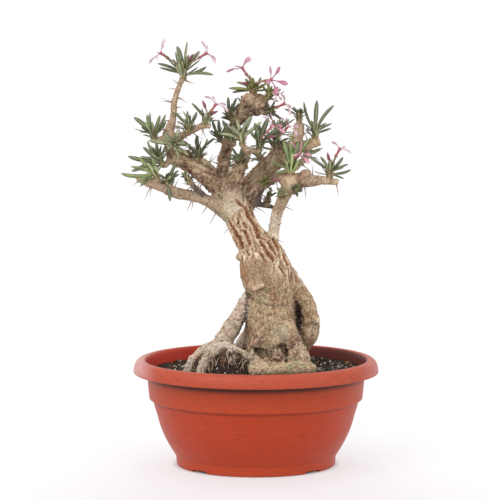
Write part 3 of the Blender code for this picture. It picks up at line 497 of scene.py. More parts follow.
# Soil: a dark mix with pale grains and chips of bark
soilPlan = {
    "top": 118,
    "radius": 132.2,
    "rings": 64,
    "around": 200,
    "relief": 3.2,
    "mounds": [(-42, -36, 15, 10), (-26, -44, 7, 8), (0, -34, 5, 8), (40, -36, 4, 8)],  # x, y, height, width
    "under": [(124, 88), (119.5, 70), (113, 49), (105.5, 32), (93, 9.5)],  # radius and height, down to the floor
    "sunk": 2.4,  # lower on the left
    "grains": 430,
    "grainSizes": [0.5, 0.7, 0.8, 1.0, 1.5],
    "chips": 1300,
    "dark": tint(44, 34, 30),
    "brown": tint(84, 62, 46),
    "fleck": tint(150, 132, 112),
    "chipTints": [tint(44, 32, 28), tint(70, 48, 36), tint(104, 74, 50), tint(140, 114, 86), tint(30, 24, 24),
                  tint(168, 152, 132)],
    "chipShares": (5, 5, 4, 2.5, 3, 1.5),
    "pale": tint(206, 200, 190),
}


def lump(shape, where, size, seed, rough=0.35):  # one small stone or chip
    made = bmesh.ops.create_icosphere(shape, subdivisions=1, radius=1)["verts"]
    turn = Matrix.Rotation(seed * 2.3, 3, Vector((math.sin(seed), math.cos(seed * 1.7), 0.6)).normalized())
    for vertex in made:
        wobble = 1 + rough * noise.noise(vertex.co * 1.7 + Vector((seed * 3.1, seed, 0)))
        shaped = Vector((vertex.co.x * size[0], vertex.co.y * size[1], vertex.co.z * size[2])) * wobble
        vertex.co = Vector(where) + turn @ shaped
    return made


def soilHeight(x, y, plan):  # in millimetres
    spot = Vector((x, y, 0))
    low = plan["sunk"] * float(smoothStep(10, -110, x))
    coarse = noise.fractal(spot * 0.05, 1, 2, 3)
    fine = noise.fractal(spot * 0.33, 0.7, 2, 4)
    mound = sum(h * math.exp(-((x - a) ** 2 + (y - b) ** 2) / (2 * w * w)) for a, b, h, w in plan["mounds"])
    return plan["top"] - 1.4 - low + plan["relief"] * 0.45 * coarse + 1.15 * fine + mound


def makeSoil(plan):
    rings, around, radius = plan["rings"], plan["around"], plan["radius"]
    points, faces = [(0, 0, soilHeight(0, 0, plan) * mm)], []
    for ring in range(1, rings + 1):
        r = radius * (ring / rings) ** 0.85
        for k in range(around):
            angle = math.tau * (k + 0.5 * (ring % 2)) / around
            x, y = r * math.cos(angle), r * math.sin(angle)
            points.append((x * mm, y * mm, soilHeight(x, y, plan) * mm))
    for r, z in plan["under"]:
        ringInto(points, r, z, around, 0.5 * (rings % 2))
    faces += [(0, 1 + k, 1 + (k + 1) % around) for k in range(around)]
    for ring in range(rings + len(plan["under"]) - 1):
        bandInto(faces, 1 + ring * around, 1 + (ring + 1) * around, around, True)
    edge = len(points) - around
    faces.append(tuple(reversed(range(edge, edge + around))))
    bed = meshFrom(points, faces, "soilBed")
    bed.data.shade_smooth()
    settle(bed, "soil", "soil")
    bed.data.materials.append(soilMix(plan))

    draw = random.Random(11)
    grainShape, chipShape, chipPaints = bmesh.new(), bmesh.new(), []
    for k in range(plan["grains"] + plan["chips"]):
        angle, r = draw.uniform(0, math.tau), (radius - 3) * math.sqrt(draw.random())
        x, y = r * math.cos(angle), r * math.sin(angle)
        z = soilHeight(x, y, plan)
        if k < plan["grains"]:
            size = draw.choice(plan["grainSizes"])
            lump(grainShape, (x * mm, y * mm, (z + 0.25 * size) * mm),
                 [size * mm * draw.uniform(0.7, 1.1) for _ in range(3)], k * 0.37)
        else:
            size = draw.uniform(0.9, 2.6)
            made = lump(chipShape, (x * mm, y * mm, (z + 0.2 * size) * mm),
                        [size * mm * draw.uniform(0.8, 1.5), size * mm * 0.7, size * mm * draw.uniform(0.3, 0.6)],
                        k * 0.53, 0.6)
            chipPaints += [draw.choices(plan["chipTints"], plan["chipShares"])[0]] * len(made)
    grains = objectFrom(grainShape, "perliteGrains")
    chips = objectFrom(chipShape, "barkChips")
    pointColours(chips, "chipColour", np.array(chipPaints, np.float32))
    settle(grains, "soil")
    settle(chips, "soil")
    grains.data.materials.append(grainStone(plan))
    chips.data.materials.append(soilMix(plan, True))


def soilMix(plan, chips=False):
    material, tree, shader = newFinish("pottingMix", plan["dark"], 0.95)
    coarse = noiseOf(tree, placeOf(tree), 0.22, 6, 0.72)
    fine = noiseOf(tree, placeOf(tree), 0.9, 5, 0.75)
    dark = plan["dark"]
    base = rampOf(tree, coarse, [(0.36, tuple(0.5 * c for c in dark)), (0.52, dark), (0.66, plan["brown"])])
    if chips:
        grain = rampOf(tree, fine, [(0.35, 0.6), (0.65, 1.25)])
        base = mixOf(tree, 1.0, paintOf(tree, "chipColour"), grain, "MULTIPLY")
    flecks = rampOf(tree, fine, [(0.64, 0.0), (0.7, 0.75)])
    base = mixOf(tree, partsOf(tree, flecks)[0], base, plan["fleck"])
    finishWith(tree, shader, base, 0.25)
    bumpOf(tree, shader, sumOf(tree, coarse, fine), 1.2, 0.8)
    return material


def grainStone(plan):
    stops = [(0.3, tint(150, 138, 124)), (0.55, plan["pale"]), (0.75, tint(232, 230, 226))]
    return speckledFinish("perlite", plan["pale"], 0.85, 0.7, stops, 0.4, 0.7, 4, 0.7)


makeSoil(soilPlan)
print("soil")

# Leaves: narrow blades in a tuft at the end of each branch
leafPlan = {
    "rings": 9,
    "halfWidth": (0.092, 1.55, 3.1),  # share of the length, least and most
    "extra": (12, 0.86),  # more leaves in the gaps of each tuft, and their length as a share of the others'
    "keel": 1.1,
    "hearts": 6,  # young leaves in the middle of each tuft
    "tones": {  # upper side, midrib, under side, foot
        "green": [(86, 94, 66), (166, 170, 134), (134, 140, 102), (166, 158, 112)],
        "dark": [(70, 74, 54), (134, 138, 106), (108, 112, 82), (142, 130, 92)],
        "grey": [(132, 136, 106), (198, 198, 162), (170, 172, 136), (180, 170, 128)],
        "bright": [(106, 122, 76), (190, 198, 144), (162, 172, 118), (190, 190, 128)],
        "olive": [(98, 102, 54), (168, 168, 108), (138, 140, 80), (168, 156, 96)],
    },
    "stem": [(-1.5, 3.3), (0.4, 3.1), (3, 2.9), (6, 2.4), (8.2, 1.5), (8.8, 0.4)],  # height and radius
    "stemTints": (tint(150, 122, 94), tint(146, 140, 96)),  # foot and top
    "dryTones": [[(150, 126, 88), (186, 162, 122), (140, 114, 82), (146, 118, 84)],
                 [(112, 86, 64), (160, 130, 98), (118, 92, 68), (122, 96, 72)],
                 [(134, 128, 88), (176, 168, 122), (146, 138, 98), (150, 128, 90)]],
    # seat, direction, tone, then for each leaf: percent of the way up the stem, angle from straight up seen from
    # the front, angle to the front, length, hundredths of a radian that it bends by, and degrees that it rolls by
    "shoots": {
        "topLeft": [(-88.5, 12, 474), (-0.05, 0, 1), "green", [
            (42, -57, 5, 34, 35, -32), (63, -37, 17, 35, 22, -32), (70, -8, -15, 38, 57, -32),
            (69, 6, 15, 40, 10, 32), (61, 22, -14, 35, 55, 32), (20, 81, 10, 38, 26, 32), (26, 61, -13, 31, 30, 32),
            (52, 36, 14, 28, 52, 32), (25, 57, -41, 26.5, 11, 0), (40, -57, -18, 31.5, 59, -23),
            (56, 28, 33, 21, 19, 18), (70, -14, -55, 26.5, 39, 8)]],
        "leftFan": [(-123, -6, 401.5), (-0.45, -0.2, 0.85), "green", [
            (73, -37, 4, 30, 56, -32), (69, -10, 14, 27, 10, 32), (51, 5, -14, 26, 56, 32), (44, 24, 8, 29, 24, 32),
            (62, -20, -14, 26, 33, 32), (56, -64, 12, 16, 50, -32), (31, 36, -16, 24, 12, 32),
            (24, -64, -50, 23.5, 60, 21), (36, -68, 65, 19.5, 17, -21), (48, -8, -35, 15.5, 41, -4),
            (60, -64, -7, 23.5, 42, 24), (72, -7, 36, 19.5, 16, -15)]],
        "twigMiddle": [(-82, -15, 410), (0, -0.25, 1), "green", [
            (63, -26, 8, 24, 58, -32), (63, -3, -12, 20, 21, -32), (76, 9, 14, 21, 36, 32),
            (59, 20, -10, 22, 48, 32), (51, -56, 15, 16, 13, -32), (26, -71, 19, 18.5, 60, 23),
            (40, 59, 31, 12.5, 15, 0), (55, -21, -38, 15, 44, -23), (70, -16, 43, 18.5, 40, 18)]],
        "twigEnd": [(-62, -19, 419), (0.4, -0.1, 0.9), "green", [
            (37, -26, 6, 28, 39, -32), (69, 16, 22, 13, 45, -32), (39, 82, 5, 15, 14, 32),
            (50, -14, -16, 16, 60, -32), (28, 16, 72, 13, 13, 4), (48, 62, -28, 10, 47, 21),
            (68, -10, 6, 15, 37, -21)]],
        "leftFace": [(-97, -17, 393), (-0.05, -0.95, 0.3), "grey", [
            (30, -80, 14, 33, 16, -32), (49, -40, 30, 19, 60, -32), (25, 128, 26, 22, 12, 32),
            (31, 86, 24, 19, 49, 32), (25, 168, 30, 18, 34, 32), (22, -59, 8, 13.5, 23, -19),
            (29, 135, 65, 15.5, 57, 23), (37, 8, 14, 19.5, 10, 1), (44, -113, 43, 13, 55, -23),
            (52, 78, 45, 15.5, 25, 18), (59, -44, 35, 19.5, 31, 9), (67, -170, 72, 13, 51, -25),
            (74, 26, 48, 15.5, 11, 11)]],
        "leftEnd": [(-113, -14, 370), (-0.75, -0.25, 0.6), "green", [
            (62, -77, 6, 39, 11, -32), (52, -96, -14, 40, 52, -32), (73, -39, 15, 30, 31, -32),
            (62, -50, -12, 28, 25, 32), (69, -58, 16, 25, 55, 32), (49, -14, -10, 25, 10, 32),
            (43, 2, 8, 22, 57, 32), (29, 24, 16, 18, 23, 32), (24, -125, 57, 17, 34, -24),
            (36, -14, -33, 26, 49, 3), (48, -101, 6, 23.5, 12, 21), (60, -32, 52, 17, 60, -20),
            (72, -39, -14, 21, 16, -5)]],
        "leftLowTuft": [(-120, -48, 358), (-0.6, -0.2, 0.75), "bright", [
            (50, -82, 4, 40, 28, -32), (62, -65, 19, 30, 28, -32), (36, -116, 15, 23, 54, -32),
            (65, -44, -10, 26, 10, -32), (48, -98, 35, 27, 58, -32), (33, 30, 16, 18, 20, 32),
            (25, -82, -44, 17.5, 37, -7), (40, -60, 66, 23, 47, -19), (56, -4, -15, 15.5, 13, 22),
            (70, -66, -5, 17.5, 60, 1)]],
        "leftLowSide": [(-108, -45, 350), (0.35, -0.75, 0.5), "green", [
            (12, 162, 31, 25, 51, 32), (53, 26, 12, 24, 11, -32), (61, 44, 23, 18, 59, 32),
            (28, 59, -12, 17.5, 18, 16), (48, -40, 42, 16.5, 40, -24), (68, 90, 51, 12, 44, 3)]],
        "leftMainTop": [(-72, -10, 375), (0.1, -0.1, 1), "dark", [
            (60, -24, 6, 25, 60, -32), (68, 0, -12, 25, 16, -32), (62, 33, 8, 31, 43, 32), (48, 50, 22, 15, 41, 32),
            (74, 12, 14, 20, 17, 32), (40, -52, 16, 14, 59, -32), (26, 38, 70, 21, 12, 25),
            (40, 40, -40, 14.5, 50, -7), (56, -33, 31, 15.5, 33, -19), (70, 45, 30, 21, 24, 22)]],
        "uprightLeft": [(-43.5, 20, 398), (-0.5, -0.45, 0.75), "dark", [
            (69, -26, 10, 20, 45, 32), (47, -8, -14, 22, 38, 32), (38, 24, 4, 20, 19, 32), (33, 35, 23, 17, 59, 10),
            (63, -54, -6, 11.5, 11, 17)]],
        "centreLeft": [(-28, -4, 396), (-0.25, -0.4, 0.9), "green", [
            (71, -24, 10, 24, 21, -32), (58, -4, -8, 23, 58, 32), (48, -64, 14, 20, 10, -32),
            (26, 11, -40, 15.5, 54, -14), (40, -79, 33, 16, 27, 25), (55, 33, 28, 22, 29, -6),
            (70, -43, -26, 15.5, 53, -20)]],
        "centreTop": [(-17, -14, 396), (-0.1, -0.25, 1), "grey", [
            (35, -70, 6, 27, 10, -32), (65, -30, 12, 24, 56, -32), (73, -6, 14, 30, 24, 32),
            (57, 18, -10, 31, 32, 32), (53, 34, 10, 32, 50, 32), (61, -15, -26, 26, 11, -32),
            (25, -62, -26, 9.5, 59, -25), (41, 20, 67, 23, 17, 10), (56, 35, -43, 22.5, 41, 17),
            (70, -37, 27, 15.5, 43, -24)]],
        "centreRight": [(4, -17, 390), (0.1, -0.35, 0.9), "green", [
            (62, -8, 14, 27, 22, -32), (59, 0, -10, 25, 35, -32), (74, 12, 12, 33, 48, 32),
            (52, -36, 14, 18, 13, -32), (57, 37, 6, 32, 60, 32), (19, 98, 16, 16, 15, 32),
            (25, -73, 45, 15, 44, -13), (41, 64, 12, 21, 40, -14), (56, -33, -19, 15, 18, 25),
            (71, 10, 53, 15, 59, -6)]],
        "crown": [(-3, 14, 455), (-0.1, -0.15, 1), "olive", [
            (34, -72, 8, 30, 46, -32), (20, -90, 4, 26, 14, -32), (47, -50, -10, 23, 60, -32),
            (72, 2, 34, 16, 14, 32), (52, 36, 14, 19, 46, 32), (63, -24, 27, 17, 37, -32),
            (33, 58, -12, 20, 20, 32), (56, 20, -16, 19, 58, 32), (21, 78, 12, 20, 10, 32),
            (64, -18, 43, 14, 53, -32), (23, 54, 65, 17.5, 28, 11), (33, 21, -49, 18.5, 28, -25),
            (43, -59, 28, 12.5, 54, 10), (53, 66, 28, 18, 10, 17), (63, -27, -23, 18.5, 58, -23),
            (73, -9, 26, 12.5, 21, 1)]],
        "crownRight": [(13.5, 8, 449), (0.6, -0.4, 0.7), "olive", [
            (56, 6, 10, 20, 60, -32), (33, -30, 14, 18, 12, -32), (68, 54, 10, 15, 49, 32),
            (25, 106, -1, 13.5, 34, 25), (40, -6, -9, 8, 22, -13), (55, 68, 64, 9.5, 57, -14),
            (70, 48, -8, 13.5, 10, 25)]],
        "crownLeft": [(-30, 10, 424), (-0.55, -0.45, 0.75), "dark", [
            (61, -14, 6, 22, 51, 32), (43, 11, -20, 20, 31, 32), (46, 14, 12, 24, 25, 32), (28, 20, -2, 19, 56, 32),
            (71, -40, 12, 14, 10, -32), (28, -16, -37, 17.5, 57, 16), (48, -94, 38, 12, 23, 11),
            (68, 2, 28, 16.5, 34, -25)]],
        "crownLow": [(12, 6, 432), (0.75, -0.5, 0.3), "dark", [
            (45, 116, 8, 19, 28, 32), (32, 4, 25, 13, 54, -32), (26, 150, 14, 12, 10, 32),
            (28, -28, 60, 10.5, 58, -7), (48, 126, 27, 9.5, 21, 25), (68, 38, 12, 13.5, 36, -13)]],
        "rightTop": [(72.5, 22, 401), (0, -0.1, 1), "green", [
            (70, -17, 6, 40, 11, -32), (69, 2, -12, 43, 59, 32), (61, 29, 4, 41, 18, 32), (48, 47, 12, 24, 39, 32),
            (45, -50, 10, 12.5, 44, -32), (32, 66, -10, 21, 15, 32), (56, -31, 24, 18, 60, -32),
            (24, -64, 50, 14.5, 13, -24), (36, 33, -7, 20, 48, 16), (48, -43, -21, 22, 36, 11),
            (60, 13, 45, 14.5, 21, -25), (72, 20, -18, 20, 58, 9)]],
        "rightKnobTop": [(52.5, 17, 423), (0, -0.15, 1), "dark", [
            (40, -58, 8, 20, 16, -32), (57, -34, 14, 14, 42, -32), (59, 32, 14, 13, 42, 32),
            (23, 68, 53, 8.5, 17, -19), (33, 9, -53, 12.5, 60, -8), (43, -51, 38, 9.5, 12, 25),
            (53, 70, 4, 8.5, 50, -12), (63, -28, -18, 12.5, 33, -15), (73, 2, 38, 9.5, 24, 24)]],
        "innerDark": [(24.5, -2, 389), (0, -0.35, 1), "dark", [
            (52, -40, 8, 20, 39, -32), (63, 10, -5, 22, 19, 32), (47, 48, 10, 18, 59, 32), (25, 61, -12, 15, 11, 4),
            (41, -62, -11, 17, 52, -24), (56, 34, 55, 11.5, 30, 16), (71, -5, -12, 15, 26, 12)]],
        "tall": [(42, -27, 361.5), (0, -0.2, 1), "bright", [
            (80, 0, 8, 39, 58, -32), (65, -15, -21, 37.5, 10, -32), (62, 12, -25, 42, 54, 32),
            (69, 27, -1, 43, 27, 32), (41, -57, 12, 27, 29, -32), (31, -84, 16, 20, 53, -32),
            (45, 52, 14, 18, 11, 32), (26, -9, -56, 18, 59, 23), (40, -50, 49, 18, 20, -18),
            (56, 40, -7, 15, 38, -8), (71, -27, -6, 22.5, 46, 25)]],
        "rightTuft": [(89, -29, 357), (0.05, -0.15, 1), "green", [
            (52, -38, 8, 29, 56, -32), (56, -26, -12, 22, 25, -32), (57, 33, -8, 24, 32, 32),
            (47, 51, 8, 24, 51, 32), (28, 76, 4, 26, 11, 32), (16, 92, 0, 18, 59, 32), (39, 61, 30, 20, 17, 32),
            (74, 12, 14, 20, 41, 32), (24, -67, 5, 19.5, 43, 21), (36, 55, 49, 12.5, 16, 4),
            (48, 8, -41, 16.5, 60, -24), (60, -32, 33, 19.5, 12, 15), (72, 34, 7, 12.5, 49, 12)]],
        "shoulderTuft": [(31, -23, 332), (-0.2, -0.85, 0.5), "grey", [
            (23, -7, 13, 9.5, 35, 0), (33, -98, 25, 7.5, 48, 23), (43, 79, 50, 11.5, 12, -18),
            (53, -28, 12, 9.5, 60, -8), (63, -113, 70, 7.5, 15, 25), (73, 19, 42, 11.5, 43, -12)]],
        "shoulderSide": [(47, -27, 338), (0.3, -0.8, 0.3), "dark", [
            (24, -31, 30, 7, 14, -21), (36, 155, 45, 8.5, 60, 21), (48, 39, 12, 8, 14, 5),
            (60, -63, 67, 7, 46, -24), (72, 90, 45, 8.5, 38, 15)]],
        "underMain": [(12, -9, 348), (0.1, -0.9, 0.1), "olive", [
            (26, -85, 20, 12, 12, -32), (24, -122, 30, 7.5, 49, -23), (36, 96, 25, 11, 35, -1),
            (48, -30, 38, 9.5, 22, 23), (60, 177, 56, 7.5, 57, -18), (72, 47, 50, 11, 10, -9)]],
        "darkFork": [(14, 31, 321), (0.3, -0.2, 0.9), "dark", [
            (76, 22, 5, 14, 32, 32), (59, 50, 12, 12, 25, 32), (28, -8, -50, 6.5, 56, -3),
            (48, -15, 55, 10.5, 10, -21), (68, 46, -8, 7, 57, 20)]],
        "frontTuft": [(-19, -34, 373), (-0.1, -0.75, 0.65), "dark", [
            (54, -26, 14, 18, 54, -32), (57, 8, 18, 16, 10, 32), (41, -62, 14, 15, 58, -32),
            (25, 66, 16, 14, 21, 19), (40, -47, 3, 12.5, 36, -22), (56, 114, 85, 9.5, 47, -1),
            (70, 23, 28, 14, 13, 23)]],
        "spurEnd": [(-81, -36, 351.5), (-0.5, -0.1, 0.8), "dark", [
            (26, -80, 65, 9.5, 59, 24), (40, 19, -19, 6.5, 19, -3), (56, -74, -6, 7.5, 39, -22),
            (71, -12, 32, 9.5, 45, 20)]],
        "backTop": [(27, 80, 398), (0.15, 0.35, 1), "green", [
            (21, 70, 20, 23.5, 42, 7), (28, -62, -73, 17, 42, 19), (35, -18, 36, 26, 16, -22),
            (41, 69, -29, 23.5, 60, -1), (48, -46, -27, 17, 12, 23), (55, 29, 21, 26, 50, -17),
            (61, 25, -56, 23.5, 33, -10), (68, -19, 1, 17, 23, 25), (75, 37, -12, 26, 57, -10)]],
        "backLeftEnd": [(-69, 72, 371), (-0.4, 0.4, 0.85), "green", [
            (22, 63, -53, 17, 18, -17), (29, -89, -3, 19, 59, 24), (37, 21, 14, 25, 11, -2),
            (44, -61, -72, 17, 52, -22), (52, -48, 19, 19, 30, 20), (59, 20, -29, 25, 26, 6),
            (67, -64, -33, 17, 55, -25), (74, -14, 4, 19, 10, 14)]],
        "backReachEnd": [(61, 68, 371), (0.45, 0.45, 0.8), "green", [
            (22, -75, -68, 15, 10, -25), (29, 7, 35, 22.5, 54, 6), (37, 99, -36, 21, 28, 20),
            (44, -30, -27, 15, 29, -22), (52, 53, 15, 22.5, 53, -2), (59, 45, -66, 21, 10, 24),
            (67, 2, -3, 15, 58, -17), (74, 60, -20, 22.5, 20, -10)]],
        "backMiddle": [(-40, 57, 358), (0.2, 0.45, 0.9), "green", [
            (22, -54, 3, 17, 25, -10), (31, 66, 11, 23, 31, -17), (39, -49, -72, 16, 51, 24),
            (48, -7, 20, 17, 11, -2), (57, 62, -34, 23, 59, -22), (65, -29, -32, 16, 18, 20), (74, 26, 0, 17, 40, 6)]],
        "backFork": [(7, 66, 370), (-0.6, 0.5, 0.65), "green", [
            (22, -34, 41, 19, 49, 14), (31, 45, -59, 19, 12, -25), (39, -98, -6, 13, 60, 6),
            (48, -1, 1, 19.5, 16, 20), (57, -76, -68, 18.5, 43, -22), (65, -57, 4, 13, 41, -2),
            (74, -8, -36, 19.5, 17, 24)]],
        "backCrown": [(-12, 34, 436), (-0.2, 0.8, 0.6), "green", [
            (22, -23, 19, 18, 60, 25), (31, 89, -47, 12.5, 14, -10), (39, -86, -25, 13, 46, -17),
            (48, 17, -11, 18, 38, 24), (57, -160, -84, 12.5, 19, -2), (65, -41, -20, 13, 59, -22),
            (74, 27, -48, 18, 11, 19)]],
    },
}


def seenWay(angle, forward):  # a direction from its angle from straight up and its lean to the front
    a, f = math.radians(angle), math.radians(forward)
    return Vector((math.sin(a) * math.cos(f), -math.sin(f), math.cos(a) * math.cos(f)))


def arcSpot(start, way, towards, length, bend, share):
    across = (towards - way * towards.dot(way)).normalized() * (1 if bend > 0 else -1)
    bend = max(abs(bend), 0.02)
    radius = length / bend
    angle = bend * share
    return start + way * radius * math.sin(angle) + across * radius * (1 - math.cos(angle))


def addLeaf(build, start, way, axis, length, bend, roll, half, paints, keel):
    points, faces, colours = build
    upper, midrib, under, foot = paints
    up = turned((axis - way * axis.dot(way)).normalized(), roll, way)
    rings = leafPlan["rings"]
    first = len(points)
    for ring in range(rings):
        share = 0.985 * ring / (rings - 1)
        spot = arcSpot(start, way, -axis, length, bend, share)
        ahead = (arcSpot(start, way, -axis, length, bend, share + 0.02) - spot).normalized()
        side = ahead.cross(up).normalized()
        top = side.cross(ahead).normalized()
        blunt = math.sqrt(max(0, 1 - max(0, (share - 0.62) / 0.38) ** 2))
        wide = half * (0.5 + 0.5 * float(smoothStep(0, 0.5, share))) * blunt + 0.05
        deep = keel * (1.1 - 0.45 * share) * (0.35 + 0.65 * blunt)
        edge, dip, below = -0.18 * wide, 0.12 * wide, -0.42 * deep - 0.1 * wide
        section = [(-1, edge), (-0.56, dip), (-0.16, 0.1 * wide), (0, -0.12 * deep), (0.16, 0.1 * wide), (0.56, dip),
                   (1, edge), (0.52, below), (0, -deep), (-0.52, below)]
        young = float(smoothStep(0.4, 0.04, share))
        wearAndSheen = 0.35 * float(smoothStep(0.9, 1.0, share))
        for k, (x, y) in enumerate(section):
            points.append((spot + side * x * wide + top * y) * mm)
            paint = midrib if k in (3, 8) else under if k in (7, 9) else upper
            if k in (0, 6):
                paint = [0.8 * u for u in upper]
            paint = [u + (v - u) * young for u, v in zip(paint, foot)]
            colours.append([u + (v - u) * wearAndSheen for u, v in zip(paint, tint(122, 100, 62))])
    skinInto(faces, first, rings, 10)


def makeShoot(name, number, shoot, plan):
    seat, axis, tone, leaves = shoot
    seat, axis = Vector(seat), Vector(axis).normalized()
    draw = random.Random(number)
    build = ([], [], [])
    paints = [tint(*colour) for colour in plan["tones"][tone]]
    ratio, least, most = plan["halfWidth"]
    for share, angle, forward, length, bend, roll in leaves:
        way = seenWay(angle, forward)
        out = (way - axis * axis.dot(way)).normalized()
        start = seat + axis * (0.3 + 0.08 * share) + out * 0.5
        half = min(max(ratio * length, least), most)
        curl = draw.choice((1, 1, -1)) * draw.uniform(0.15, 0.75)  # the tip stays, only the bow differs
        away = (-axis + way * axis.dot(way)).normalized()
        turn = (bend / 100 - curl) / 2
        way = way * math.cos(turn) + away * math.sin(turn)
        lift = draw.uniform(0.84, 1.26)
        own = [tuple(lift * c * w for c, w in zip(paint, (draw.uniform(0.92, 1.1), 1, draw.uniform(0.9, 1.1))))
               for paint in paints]
        addLeaf(build, start, way, axis, length, curl, math.radians(roll), half, own, plan["keel"])
    spread = [seenWay(row[1], row[2]) for row in leaves]
    more, scale = plan["extra"]
    usual = sum(row[3] for row in leaves) / len(leaves)
    for _ in range(more):  # each goes where the tuft is most open
        choices = []
        for _ in range(40):
            out = turned(axis.orthogonal().normalized(), draw.uniform(0, math.tau), axis)
            tilt = math.radians(draw.uniform(5, 38))
            way = (axis * math.cos(tilt) + out * math.sin(tilt)).normalized()
            choices.append((min(way.angle(other) for other in spread), tilt, way))
        room, tilt, way = max(choices, key=lambda choice: choice[0])
        if room < math.radians(9):
            break
        spread.append(way)
        out = (way - axis * axis.dot(way)).normalized()
        length = usual * scale * draw.uniform(0.8, 1.15)
        own = [tuple(draw.uniform(0.85, 1.15) * c for c in paint) for paint in paints]
        low = draw.uniform(-2.5, 6.2 * (1 - tilt / 1.5))
        outside, shorter = (0.6, 1) if low > 0 else (2.6, 0.75)
        bend = draw.choice((-1, 1)) * draw.uniform(0.1, 0.6)
        addLeaf(build, seat + axis * low + out * outside, way, axis, length * shorter, bend, 0,
                min(max(ratio * length, least), most), own, plan["keel"])
    fresh = [tuple(0.6 * c + 0.4 * d for c, d in zip(paint, tint(150, 168, 92))) for paint in paints]
    side = axis.orthogonal().normalized()
    for k in range(plan["hearts"]):
        out = turned(side, k * goldenAngle + number, axis)
        tilt = math.radians(8 + 30 * k / plan["hearts"])
        way = (axis * math.cos(tilt) + out * math.sin(tilt)).normalized()
        addLeaf(build, seat + axis * (6.6 - 0.5 * k) + out * 0.7, way, axis, 5.5 + 0.9 * k, 0.1, 0,
                0.9 + 0.07 * k, fresh, 0.7)
    for k in range(16):  # the feet of leaves that have dropped
        out = turned(side, k * goldenAngle + 2 * number, axis)
        way = (axis * draw.uniform(0.6, 1.1) + out * 0.7).normalized()
        addLeaf(build, seat + axis * (0.5 * k - 5) + out * (2.5 - 0.07 * k), way, axis, draw.uniform(3, 7), -0.4, 0,
                draw.uniform(0.9, 1.5), [tint(*colour) for colour in plan["dryTones"][k % 3]], 0.8)
    rows = plan["stem"]
    tubeInto(build[0], build[1], [(*(seat + axis * h), r) for h, r in rows], 12)
    for k in range(12 * len(rows)):
        share = max(0, (k // 12) / (len(rows) - 1) - 0.4) / 0.6
        build[2].append([u + (v - u) * share for u, v in zip(*plan["stemTints"])])
    tuft = paintedPiece(build, "tuft." + name, "leafColour")
    settle(tuft, "leaf", nodeName("shoot", name))
    return tuft


def leafSkin():
    material, tree, shader = newFinish("leafSkin", tint(70, 96, 60), 0.48)
    cloudy = noiseOf(tree, placeOf(tree), 0.16, 3, 0.6)
    fine = noiseOf(tree, placeOf(tree), 1.3, 3, 0.6)
    shades = rampOf(tree, cloudy, [(0.3, 0.82), (0.7, 1.2)])
    base = mixOf(tree, 1.0, paintOf(tree, "leafColour"), shades, "MULTIPLY")
    base = mixOf(tree, 1.0, base, rampOf(tree, fine, [(0.35, 0.88), (0.65, 1.1)]), "MULTIPLY")
    finishWith(tree, shader, base, 0.4, rampOf(tree, fine, [(0.3, 0.42), (0.7, 0.58)]))
    bumpOf(tree, shader, fine, 0.16, 0.5)
    return material


leafFinish = leafSkin()
for number, (name, shoot) in enumerate(leafPlan["shoots"].items()):
    makeShoot(name, number, shoot, leafPlan).data.materials.append(leafFinish)
print("leaves")

# Flowers and buds on short stalks
flowerPlan = {
    "kinds": {  # petal length, half width, how much it curls and twists, colours of throat, middle and tip
        "star": (20, 2.9, 0.45, 0.2, (140, 66, 86), (178, 100, 124), (198, 134, 154)),
        "broad": (18, 2.3, 0.8, 0.8, (142, 66, 84), (182, 116, 134), (200, 152, 164)),
        "thin": (17, 1.6, 1.0, 1.0, (152, 92, 104), (190, 148, 158), (206, 182, 188)),
        "pale": (15, 1.6, 1.0, 1.0, (160, 100, 106), (198, 160, 168), (212, 190, 196)),
        "small": (8, 1.7, 0.8, 0.8, (164, 110, 112), (196, 160, 166), (212, 188, 192)),
    },
    "tube": [(160, 122, 98), (158, 80, 84), (164, 84, 100)],  # from the foot to the throat
    "bud": [(134, 92, 84), (128, 60, 76), (150, 96, 114)],
    # for each flower: what it is, its angle seen from the front, its angle to the front, length of stalk and
    # tube, and the turn of its petals
    "sprays": {
        "topLeft": [("thin", -56, 6, 34, 20), ("thin", 58, 8, 36, 50), ("bud", 37, -12, 22, 0)],
        "twigEnd": [("thin", 34, 8, 18, 10), ("bud", -21, 8, 20, 0), ("bud", 66, -12, 13, 0)],
        "crown": [("broad", -33, 6, 25, 0), ("star", 76, 38, 31, 8), ("bud", -84, 24, 15, 0)],
        "crownLow": [("pale", 64, 5, 17, 66)],
        "centreRight": [("broad", 42, 14, 24, 15), ("bud", 78, 4, 20, 0)],
        "innerDark": [("thin", 42, 16, 24, 5)],
        "tall": [("broad", 42, 28, 18, 60)],
        "rightTuft": [("pale", 28, 4, 26, 25), ("bud", -12, 8, 18, 0)],
        "crownRight": [("small", 117, 53, 12, 15)],
        "underMain": [("bud", 80, 34, 19, 0)],
    },
}


def threeTints(colours, share):
    first, middle, last = [tint(*colour) for colour in colours]
    pair, part = ((first, middle), share * 2) if share < 0.5 else ((middle, last), share * 2 - 1)
    return [u + (v - u) * part for u, v in zip(*pair)]


